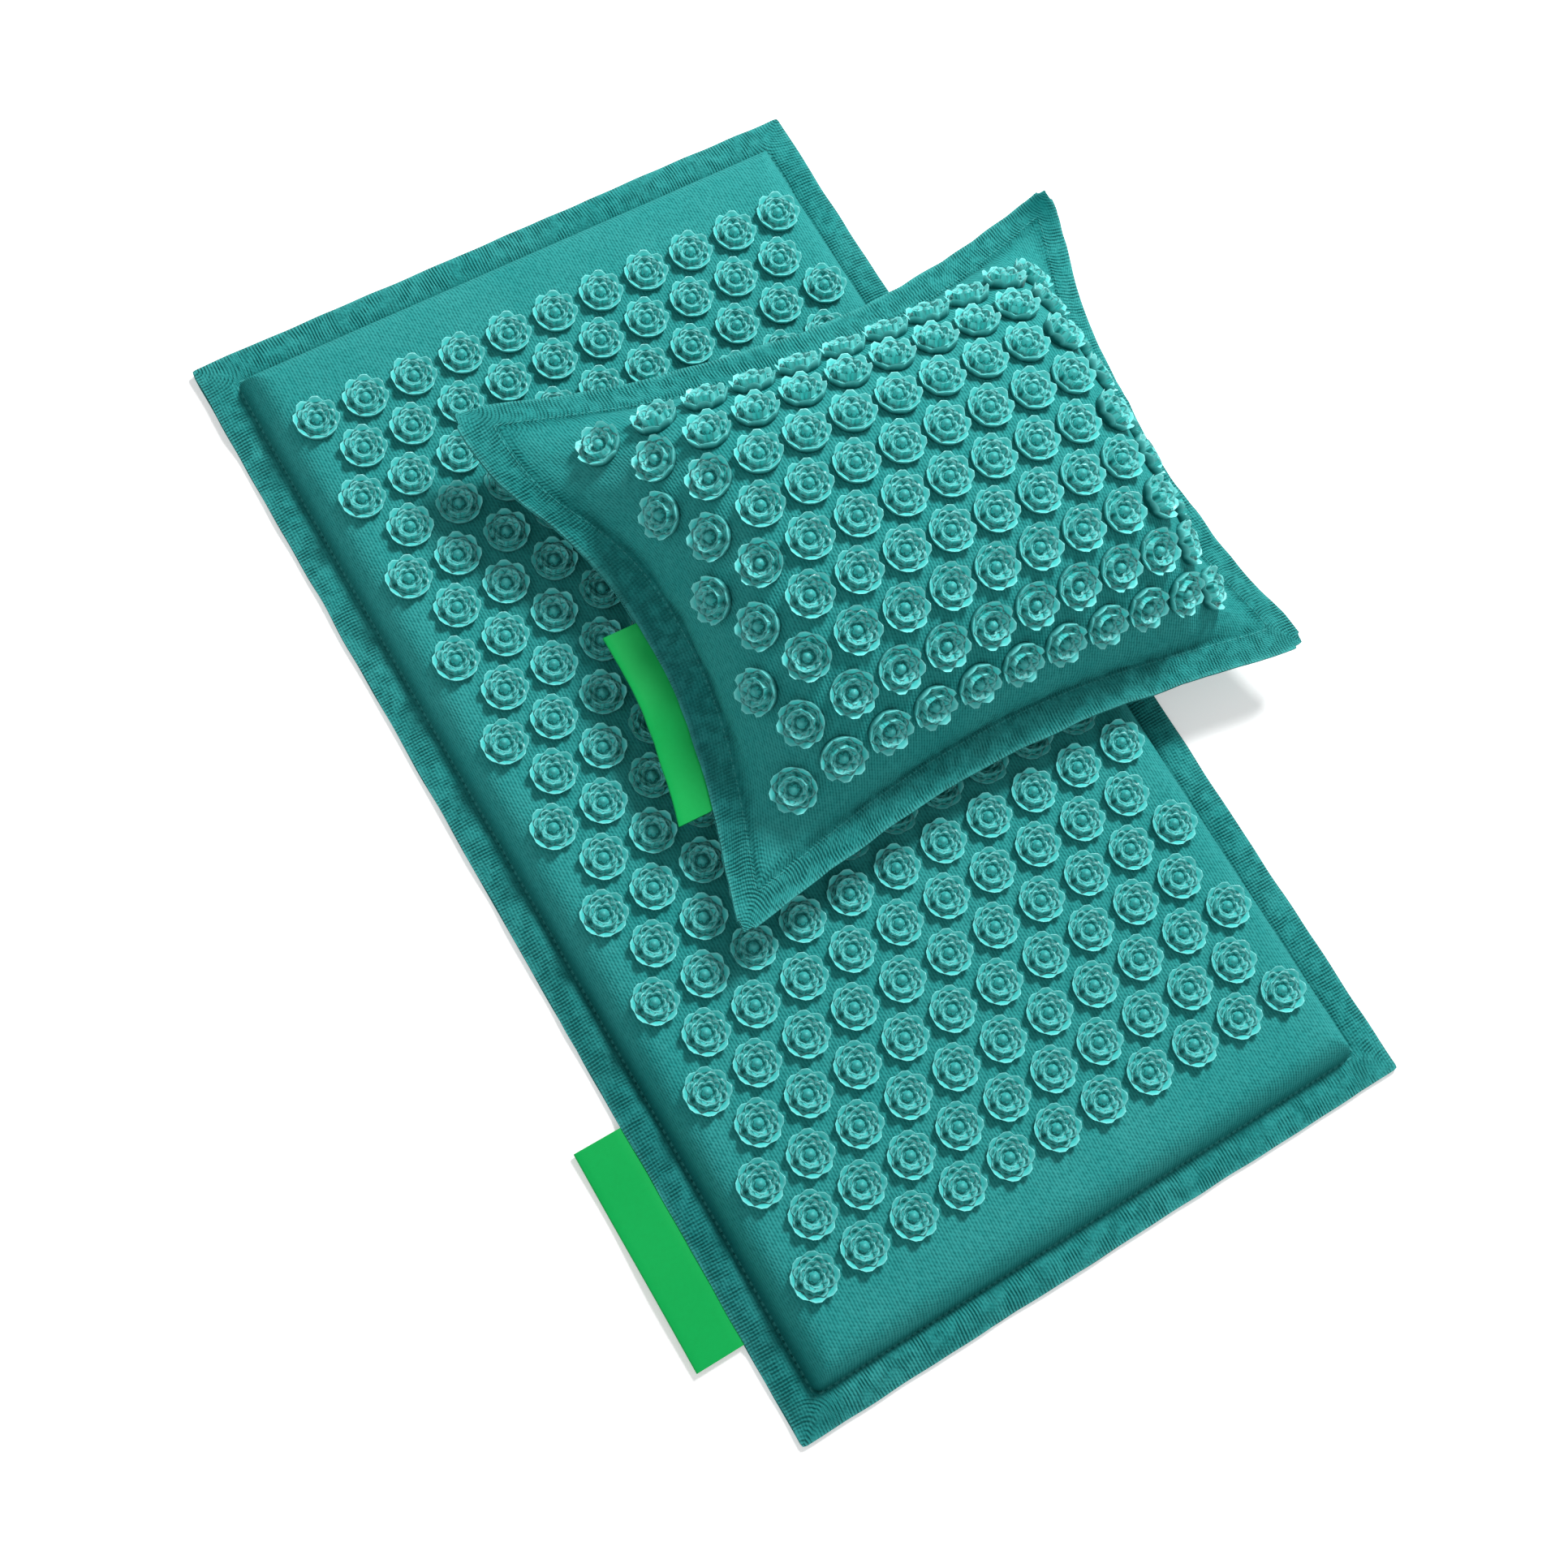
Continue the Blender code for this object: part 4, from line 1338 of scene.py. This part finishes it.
@dataclass(frozen=True)
class Pillow:
    """The pillow: a crowned cover with discs over a belly that lies on the mat.

    A point of a cover is given by s and t, its shares of the way to the right and to the far seam.
    """

    length: float = 0.412
    width: float = 0.341
    flange: float = 0.022
    draw_x: float = 0.0330
    draw_y: float = 0.0265
    draw_power: float = 1.2
    shoulder: float = 0.014
    crown: float = 0.078
    belly: float = 0.034
    side_power: float = 3.2
    left_steepness: float = 0.40
    right_steepness: float = 0.60
    end_power: float = 2.8
    corner_droop: float = 0.007
    flange_fall: float = 0.007
    side_fall: float = 0.008
    rest_level: float = 0.0338
    seam_rise: float = 0.026
    centre: tuple[float, float] = (0.107, 0.050)
    turn_degrees: Triple = (2.0, 3.5, -2.4)
    across_steps: int = 104
    along_steps: int = 88
    flange_steps: int = 8
    valley: float = 0.012
    crown_passes: int = 12
    belly_passes: int = 2
    pucker: float = 0.0023
    pucker_reach: float = 0.016
    pucker_length: float = 0.030
    ridge: float = 0.0034
    ridge_reach: float = 0.045
    dent: float = 0.0010
    puff: float = 0.0012
    label_to_corner: float = 0.072
    label_droop_degrees: float = 5.0
    flutter: float = 0.0042
    edge_drift: float = 0.0018
    # Painted shade along the seam's valley, on the far tip's folds and on the left flange.
    seam_shade: float = 0.34
    tip_shade: float = 0.90
    left_shade: float = 0.26
    # Wear and painted highlight along the flange's outer edge.
    worn: float = 0.55
    tips: tuple[tuple[int, int, Triple], ...] = (
        (-1, 1, (-0.004, 0.0095, 0.0030)),
        (1, 1, (-0.001, 0.0080, 0.0090)),
        (1, -1, (-0.006, 0.0085, 0.0035)),
        (-1, -1, (0.000, -0.0010, 0.0010)),
    )
    tip_blunting: float = 0.008
    tip_passes: int = 6
    bag_depth: float = 0.0060
    husk_depth: float = 0.0070
    trial: ClothTrial = ClothTrial()
    discs: DiscField = DiscField(columns=11, rows=9, pitch=0.0299, row_step=0.02875)
    label: Label = Label(length=0.118, reach=0.021)

    @property
    def half(self) -> tuple[float, float]:
        """Half the seam's size across and along."""
        return self.length / 2 - self.flange, self.width / 2 - self.flange

    @property
    def place(self) -> Matrix:
        """Where the pillow lies."""
        x, y = self.centre
        turn = Euler([math.radians(angle) for angle in self.turn_degrees], "XYZ")
        return Matrix.Translation((x, y, self.rest_level + self.seam_rise)) @ turn.to_matrix().to_4x4()

    def build(self, shop: Workshop, disc: Disc) -> None:
        """Builds every piece of the pillow.

        Args:
            shop: Makes the pieces.
            disc: The moulded disc.
        """
        body = Body.PILLOW
        crown, belly = self.sheet(Side.TOP), self.sheet(Side.UNDER)
        self.follow(belly, self.settle(crown))
        surface = BVHTree.FromBMesh(crown)
        self.lay(crown, Side.TOP)
        cover = shop.piece("pillow_crown", crown, COVER_CLOTH, body, Slot.CLOTH, ["pillow_top_cover"])
        self.lay(belly, Side.UNDER)
        under = shop.piece("pillow_belly", belly, COVER_CLOTH, body, Slot.CLOTH, ["pillow_bottom_cover"])
        discs = disc.scatter(self.disc_place(x, y, surface) for x, y in self.discs.places())
        shop.piece("pillow_discs", discs, DISC_PLASTIC, body, Slot.DISC, sharp_degrees=DISC_SHARP_DEGREES)
        bags = ["pillow_inner_bag_top", "pillow_inner_bag_bottom"]
        bag = shop.piece("pillow_bag", self.filling(self.bag_depth), LINING_CLOTH, body, Slot.LINING, bags)
        filling = self.filling(self.husk_depth)
        husks = shop.piece("pillow_husks", filling, HUSKS, body, Slot.HUSK, ["pillow_filling"])
        ribbon = shop.piece("pillow_ribbon", self.ribbon(), LABEL_RIBBON, body, Slot.RIBBON, ["pillow_label"])
        self.label.flat
        shop.redress(("pillow_hook_strip", "pillow_loop_strip"), CLOSURE_PILE)

    def plan(self, s: float, t: float, spread: float = 0.0) -> tuple[float, float]:
        """Returns the place over the ground of a point of the pillow.

        Args:
            s: The share of the way to the right seam.
            t: The share of the way to the far seam.
            spread: How far beyond the seam the edge is carried.

        Returns:
            Its x and y, with the sides drawn in between the corners.
        """
        half_x, half_y = self.half
        x = s * (half_x + spread) - self.draw_x * (1 - t * t) ** self.draw_power * s * abs(s) ** 6
        x -= self.shoulder * max(-s, 0.0) ** 6 * bump(t - 0.74, 0.26)
        y = t * (half_y + spread) - self.draw_y * (1 - s * s) ** self.draw_power * t * abs(t) ** 3
        return x, y

    def tip_shift(self, s: float, t: float) -> Vector:
        """Returns how far the corners are pulled out of the even outline."""
        total = Vector()
        for side, end, shift in self.tips:
            near = clamp((1 + s * side) / 2) ** 5 * clamp((1 + t * end) / 2) ** 5
            total += Vector(shift) * near
        return total

    def seam_level(self, s: float, t: float) -> float:
        """Returns the height of the plane between the covers."""
        return -self.corner_droop * (s * t) ** 2

    def smooth_point(self, side: Side, s: float, t: float) -> Vector:
        """Returns a point of a cover's outer face before its folds."""
        x, y = self.plan(s, t)
        rounded = max(1 - abs(s) ** self.side_power, 0.0)
        steep = (self.right_steepness if s > 0 else self.left_steepness) * smooth_step(abs(s), 0.0, 0.5)
        swell_s = rounded + steep * (1 - smooth_step(abs(s), 0.60, 1.0) - rounded)
        swell = swell_s * max(1 - abs(t) ** self.end_power, 0.0) ** 0.9
        bulge = self.crown if side is Side.TOP else self.belly
        level = self.seam_level(s, t)
        point = Vector((x, y, level + side.value * (bulge * swell + LAYER_GAP / 2 + COVER_THICKNESS)))
        point += self.tip_shift(s, t)
        if side is Side.UNDER:
            placed = self.place @ point
            placed.z = max(placed.z, min(self.rest_level, (self.place @ Vector((x, y, level))).z))
            point = self.place.inverted() @ placed
        return point

    def axes(self, side: Side, s: float, t: float) -> tuple[Vector, Vector]:
        """Returns the slope across and the outward normal of a cover."""
        step = 0.002
        across = self.smooth_point(side, s + step, t) - self.smooth_point(side, s - step, t)
        along = self.smooth_point(side, s, t + step) - self.smooth_point(side, s, t - step)
        return across.normalized(), across.cross(along).normalized() * side.value

    def fold(self, s: float, t: float) -> float:
        """Returns how far the crown stands out in puckers by the seam and soft dents further in."""
        half_x, half_y = self.half
        to_x = (1 - abs(s)) * half_x
        to_y = (1 - abs(t)) * half_y
        x, y = self.plan(s, t)
        right, far = math.copysign(1, s), math.copysign(1, t)
        puckers = 0.0
        for gap, way, seed in ((to_x, y, 2.0 + right), (to_y, x, 6.0 + far)):
            near = math.exp(-gap / self.pucker_reach) * smooth_step(gap, 0.0, 0.003)
            puckers += self.pucker * near * waver(way, 0.0, self.pucker_length, seed)
        corner = math.exp(-math.hypot(to_x, to_y) / self.ridge_reach)
        ridge = waver(to_x - to_y, 0.0, 0.014, 4.0 + right + 2 * far)
        soft = self.dent * waver(x, y, 0.060, 15.0)
        away = smooth_step(min(to_x, to_y), 0.0, 0.010)
        return puckers + self.ridge * corner * ridge * away + soft * away

    def cover_point(self, side: Side, s: float, t: float) -> Vector:
        """Returns a point of a cover's outer face with its folds."""
        point = self.smooth_point(side, s, t)
        if max(abs(s), abs(t)) < 1 and side is Side.TOP:
            point += self.axes(side, s, t)[1] * self.fold(s, t)
        return point

    def lift(self, s: float, t: float) -> float:
        """Returns half the height of what lies between the flange's plies."""
        if s == 1:
            return (STRIP_THICKNESS + LAYER_GAP) * (1 - smooth_step(abs(t), 0.62, 0.82))
        if s == -1:
            start, end = self.label_span
            inside = smooth_step(t, start - 0.12, start) * (1 - smooth_step(t, end, end + 0.12))
            return (RIBBON_THICKNESS + LAYER_GAP) * inside
        return 0.0

    @property
    def label_span(self) -> tuple[float, float]:
        """The label's ends as shares of the left side."""
        start = (self.label_to_corner - self.width / 2) / (self.width / 2)
        return start, start + self.label.length / (self.width / 2)

    def flange_middle(self, out: float, s: float, t: float) -> Vector:
        """Returns a point of the plane between the flange's plies.

        Args:
            out: 0 at the seam and 1 at the outer edge.
            s: The share across, 1 or -1 on the two sides.
            t: The share along, 1 or -1 on the two ends.

        Returns:
            The point, with the flange's slow waves.
        """
        x, y = self.plan(s, t, self.flange * out)
        drift = self.edge_drift * out * waver(x, y, 0.034, 27.0)
        x += math.copysign(drift, s) * (abs(s) == 1)
        y += math.copysign(drift, t) * (abs(t) == 1)
        wave = self.flutter * out * waver(x, y, 0.055, 18.0)
        fall = self.flange_fall * (1.8 * out - 1.25 * out * out)
        fall += self.side_fall * out * (1 - t * t) * (s == -1)
        point = Vector((x, y, self.seam_level(s, t) - fall + wave))
        return point + self.tip_shift(s, t)

    def sheet(self, side: Side) -> Shape:
        """Models a cover's outer face from its middle to the seam and out to the flange's edge.

        Args:
            side: Which cover it is.

        Returns:
            The face in the pillow's own place, with what the finish and the cloth trial need on its vertices.
        """
        shape = bmesh.new()
        vertex_layers(shape, (*CLOTH_LAYERS, *PLACE_LAYERS, *TRIAL_LAYERS))
        bmesh.ops.create_grid(shape, x_segments=self.across_steps, y_segments=self.along_steps, size=1.0)
        for vertex in shape.verts:
            s, t = (self._crowded(value) for value in vertex.co.xy)
            note(shape, vertex, self.notes(s, t, 0.0))
            vertex.co = self.cover_point(side, s, t)
        row = boundary(shape)
        for step in range(1, self.flange_steps + 1):
            ring, row = grow(shape, row)
            out = step / self.flange_steps
            for vertex in ring:
                s, t, _ = (self._snapped(vertex[layer]) for layer in vertex_layers(shape, PLACE_LAYERS))
                note(shape, vertex, self.notes(s, t, out))
                wave = 0.6 + 0.8 * waver(s * 9, t * 9, 1.0, 31.0)
                puff = self.puff * math.sin(math.pi * out**0.7) * wave
                height = LAYER_GAP / 2 + COVER_THICKNESS + self.lift(s, t) + puff
                point = self.flange_middle(out, s, t)
                point.z += side.value * height
                vertex.co = point
        self._soften(shape, side)
        return shape

    def _soften(self, shape: Shape, side: Side) -> None:
        """Evens out the valley along the seam and blunts the tips."""
        tip_way = vertex_layer(shape, "tip_way")
        valley = [vertex for vertex in shape.verts if self._seam_gap(shape, vertex) < self.valley]
        tips = [vertex for vertex in shape.verts if vertex[tip_way] < self.tip_blunting]
        axes = {"use_axis_x": True, "use_axis_y": True, "use_axis_z": True}
        seam_passes = self.crown_passes if side is Side.TOP else self.belly_passes
        for chosen, passes in ((valley, seam_passes), (tips, self.tip_passes)):
            for _ in range(passes):
                bmesh.ops.smooth_vert(shape, verts=chosen, factor=0.5, **axes)

    def notes(self, s: float, t: float, out: float) -> dict[str, float]:
        """Returns what is noted on a vertex: where it lies and how the cloth looks and moves there."""
        half_x, half_y = self.half
        gap = min((1 - abs(s)) * half_x, (1 - abs(t)) * half_y)
        beyond = out * self.flange
        x, y = self.plan(s, t, beyond)
        seam_shade = self.seam_shade * math.exp(-gap / 0.004) * math.exp(-beyond / 0.003)
        start, end = self.label_span
        by_label = s < -0.9 and start - 0.15 < t < end + 0.15
        inner = smooth_step(gap, 0.008, 0.034)
        held = max(inner, 0.50 if gap < 1e-5 else 0.06) if out == 0 else 0.90 if by_label else 0.10
        return {
            "share_s": s,
            "share_t": t,
            "out": out,
            # Painted shade along the seam's valley, on the far tip and on the left flange.
            "crease": seam_shade + self.shade(s, t, out),
            # Wear and painted highlight along the flange's outer edge.
            "worn": self.worn * bump((1 - out) * self.flange, WORN_WIDTH),
            "gather": math.exp(-gap / 0.005),
            "tip_way": from_corner(half_x + self.flange - abs(x), half_y + self.flange - abs(y)),
            "to_edge": (1 - out) * self.flange + gap,
            "rib_way": self.cloth_run(s, t) + math.copysign(beyond, s) * (abs(s) == 1),
            "held": held,
            "slack": (1 - inner) * (1.0 if out == 0 else 0.8),
        }

    def cloth_run(self, s: float, t: float) -> float:
        """Returns how far a point of the crown lies from the middle line, measured along the cloth."""
        count = 16
        points = [self.smooth_point(Side.TOP, s * index / count, t) for index in range(count + 1)]
        return math.copysign(sum((end - start).length for start, end in zip(points, points[1:])), s)

    def shade(self, s: float, t: float, out: float) -> float:
        """Returns how much painted shade darkens the far tip's bunched cloth and the left flange."""
        x, y = self.plan(s, t, self.flange * out)
        half_x, half_y = self.half
        side = smooth_step(-s, 0.94, 1.0) * smooth_step(1 - abs(t), 0.05, 0.40)
        from_tip = math.hypot(half_x + self.flange - x - 0.011, half_y + self.flange - y - 0.009)
        return self.tip_shade * bump(from_tip, 0.019) + self.left_shade * side

    def _seam_gap(self, shape: Shape, vertex: Vertex) -> float:
        """Returns how far a vertex lies from the seam, along the cloth."""
        s, t, out = (vertex[layer] for layer in vertex_layers(shape, PLACE_LAYERS))
        if out > 0:
            return out * self.flange
        point = self.smooth_point(Side.TOP, s, t)
        seams = ((math.copysign(1.0, s), t), (s, math.copysign(1.0, t)))
        return min((point - self.smooth_point(Side.TOP, *seam)).length for seam in seams)

    def settle(self, sheet: Shape) -> dict[Triple, Vector]:
        """Lets a cover swell and buckle, and returns its vertices' moves by their place."""
        moves = self.trial.run(sheet)
        by_place = {}
        for vertex, move in zip(sheet.verts, moves):
            vertex.co += move
            by_place[self._spot(sheet, vertex)] = move
        return by_place

    def follow(self, sheet: Shape, moves: dict[Triple, Vector]) -> None:
        """Moves the seam and flange of the other cover along with the first one's."""
        for vertex in sheet.verts:
            s, t, out = self._spot(sheet, vertex)
            if out > 0 or max(abs(s), abs(t)) == 1:
                vertex.co += moves.get((s, t, out), Vector())

    @staticmethod
    def _spot(sheet: Shape, vertex: Vertex) -> Triple:
        """Returns a vertex's shares and how far out it lies, rounded so that both covers agree."""
        return tuple(round(vertex[layer], 4) for layer in vertex_layers(sheet, PLACE_LAYERS))

    def lay(self, sheet: Shape, side: Side) -> None:
        """Gives a cover its thickness and lays it in its place on the mat."""
        bmesh.ops.recalc_face_normals(sheet, faces=sheet.faces)
        thicken(sheet, COVER_THICKNESS, UP * side.value)
        bmesh.ops.transform(sheet, matrix=self.place, verts=sheet.verts)

    @staticmethod
    def _crowded(value: float) -> float:
        """Returns a share moved so that grid lines crowd towards the seam."""
        if abs(value) > 0.9999:
            return math.copysign(1.0, value)
        return math.copysign(1 - (1 - abs(value)) ** 1.45, value)

    @staticmethod
    def _snapped(value: float) -> float:
        """Returns a share, made exact where it is nearly 1 or -1."""
        return math.copysign(1.0, value) if abs(value) > 0.9999 else value

    def disc_place(self, x: float, y: float, surface: BVHTree) -> Matrix:
        """Returns where a disc of the flat field stands on the crown's settled surface."""
        half_x, half_y = self.half
        s, t = x / half_x, y / half_y
        across, normal = self.axes(Side.TOP, s, t)
        turn = Matrix((across, normal.cross(across), normal)).transposed().to_4x4()
        spot = self.smooth_point(Side.TOP, s, t)
        found = surface.ray_cast(spot + normal * 0.02, -normal, 0.05)[0]
        return self.place @ Matrix.Translation(found or spot) @ turn

    def filling(self, depth: float) -> Shape:
        """Models what lies this deep inside the covers, as one closed form."""
        shape = bmesh.new()
        size = 0.90 - depth / self.half[1]
        for side in Side:
            part = bmesh.ops.create_grid(shape, x_segments=40, y_segments=34, size=1.0)
            for vertex in part["verts"]:
                u, v = vertex.co.xy
                s = size * u * (1 - 0.14 * v**4)
                t = size * v * (1 - 0.14 * u**4)
                vertex.co = self.smooth_point(side, s, t) - self.axes(side, s, t)[1] * depth
        bmesh.ops.bridge_loops(shape, edges=boundary(shape))
        bmesh.ops.recalc_face_normals(shape, faces=shape.faces)
        bmesh.ops.transform(shape, matrix=self.place, verts=shape.verts)
        return shape

    def ribbon(self) -> Shape:
        """Models the label, which follows the drawn-in side and droops outside the flange."""
        start, end = self.label_span
        droop = math.radians(self.label_droop_degrees)
        turn = self.place

        def place(out: float, up: float, share: float) -> Vector:
            """Returns a point of the label, as its shape asks for it."""
            tucked = 1 + min(out, 0.0) / self.flange
            root = self.flange_middle(tucked, -1.0, start + (end - start) * share)
            outside = max(out, 0.0)
            fall = math.sin(droop) * outside * (1 + 0.15 * math.sin(share * 5.0))
            return turn @ Vector((root.x - math.cos(droop) * outside, root.y, root.z - fall + up))

        return self.label.shape(place)


@dataclass(frozen=True)
class Studio:
    """The floor, the lights and the camera."""

    floor_size: float = 12.0
    floor_colour: Colour = (0.90, 0.90, 0.90, 1.0)
    floor_glow: float = 0.36
    far_glow: float = 0.70
    far_start: float = 0.8
    far_end: float = 2.2
    world_strength: float = 0.50
    world_lean: Triple = (-0.30, -0.22, -0.26)
    key_power: float = 62.0
    key_size: float = 0.55
    key_from: Triple = (1.48, 0.94, 1.92)
    lens: float = 47.5
    sensor_width: float = 36.0
    camera_place: Triple = (-0.3564, -0.2745, 1.1708)
    camera_right: Triple = (0.84920777, -0.5099413, 0.13713514)
    camera_up: Triple = (0.4547568, 0.83823536, 0.30092812)
    camera_back: Triple = (-0.26840719, -0.19318736, 0.94373525)

    def build(self) -> None:
        """Builds the floor, the lights and the camera."""
        self._floor()
        self._world()
        self._key()
        self._camera()
        bpy.context.scene.view_settings.view_transform = "Standard"

    def _floor(self) -> None:
        """Lays a plain pale floor."""
        shape = bmesh.new()
        bmesh.ops.create_grid(shape, x_segments=2, y_segments=2, size=self.floor_size / 2)
        mesh = as_mesh(shape, "floor")
        mesh.materials.append(self._floor_finish())
        in_scene("floor", mesh)

    def _floor_finish(self) -> Material:
        """Builds a material that looks a little brighter than its light makes it, and white further off."""
        look = {"Roughness": 0.95, "Base Color": self.floor_colour, "Emission Color": (1, 1, 1, 1)}
        made = Finish("pale_floor", look)
        canvas = made.canvas
        way_off = canvas.add("ShaderNodeVectorMath", {0: made.place}, operation="LENGTH").outputs["Value"]
        far = canvas.spread(way_off, self.far_start, self.far_end)
        level = canvas.math("MULTIPLY_ADD", far, self.far_glow, self.floor_glow)
        made.give({"Emission Strength": canvas.times(canvas.seen(), level)})
        return made.material

    def _world(self) -> None:
        """Lights the scene softly, a little more from the lamp's side, and shows white behind it."""
        world = bpy.data.worlds.new("studio")
        world.use_nodes = True
        background = world.node_tree.nodes["Background"].inputs
        background["Color"].default_value = (1.0, 1.0, 1.0, 1.0)
        canvas = Canvas(world.node_tree)
        ways = {0: canvas.add("ShaderNodeTexCoord").outputs["Generated"], 1: self.world_lean}
        lean = canvas.add("ShaderNodeVectorMath", ways, operation="DOT_PRODUCT").outputs["Value"]
        level = canvas.times(canvas.math("ADD", lean, 1.0), self.world_strength)
        canvas.feed(background["Strength"], canvas.math("MAXIMUM", canvas.seen(), level))
        bpy.context.scene.world = world

    def _key(self) -> None:
        """Hangs a soft square lamp that looks at the mat's middle."""
        light = bpy.data.lights.new("key", "AREA")
        light.energy = self.key_power
        light.size = self.key_size
        turn = Vector(self.key_from).normalized().to_track_quat("Z", "Y").to_matrix().to_4x4()
        in_scene("key", light).matrix_world = Matrix.Translation(self.key_from) @ turn

    def _camera(self) -> None:
        """Sets up the camera at the photograph's angle."""
        data = bpy.data.cameras.new("camera")
        data.lens = self.lens
        data.sensor_width = self.sensor_width
        data.sensor_fit = "HORIZONTAL"
        camera = in_scene("camera", data)
        turn = Matrix((self.camera_right, self.camera_up, self.camera_back)).transposed().to_4x4()
        camera.matrix_world = Matrix.Translation(self.camera_place) @ turn
        bpy.context.scene.camera = camera


def main() -> None:
    """Loads the frame, builds the pieces round it and lights them."""
    logging.basicConfig(level=logging.INFO, format="%(message)s")
    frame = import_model()
    shop = Workshop(Effects(), frame["nodes"])
    disc = Disc()
    Mat().build(shop, disc)
    Pillow().build(shop, disc)
    Studio().build()
    bpy.context.view_layer.update()


if __name__ == "__main__":
    main()
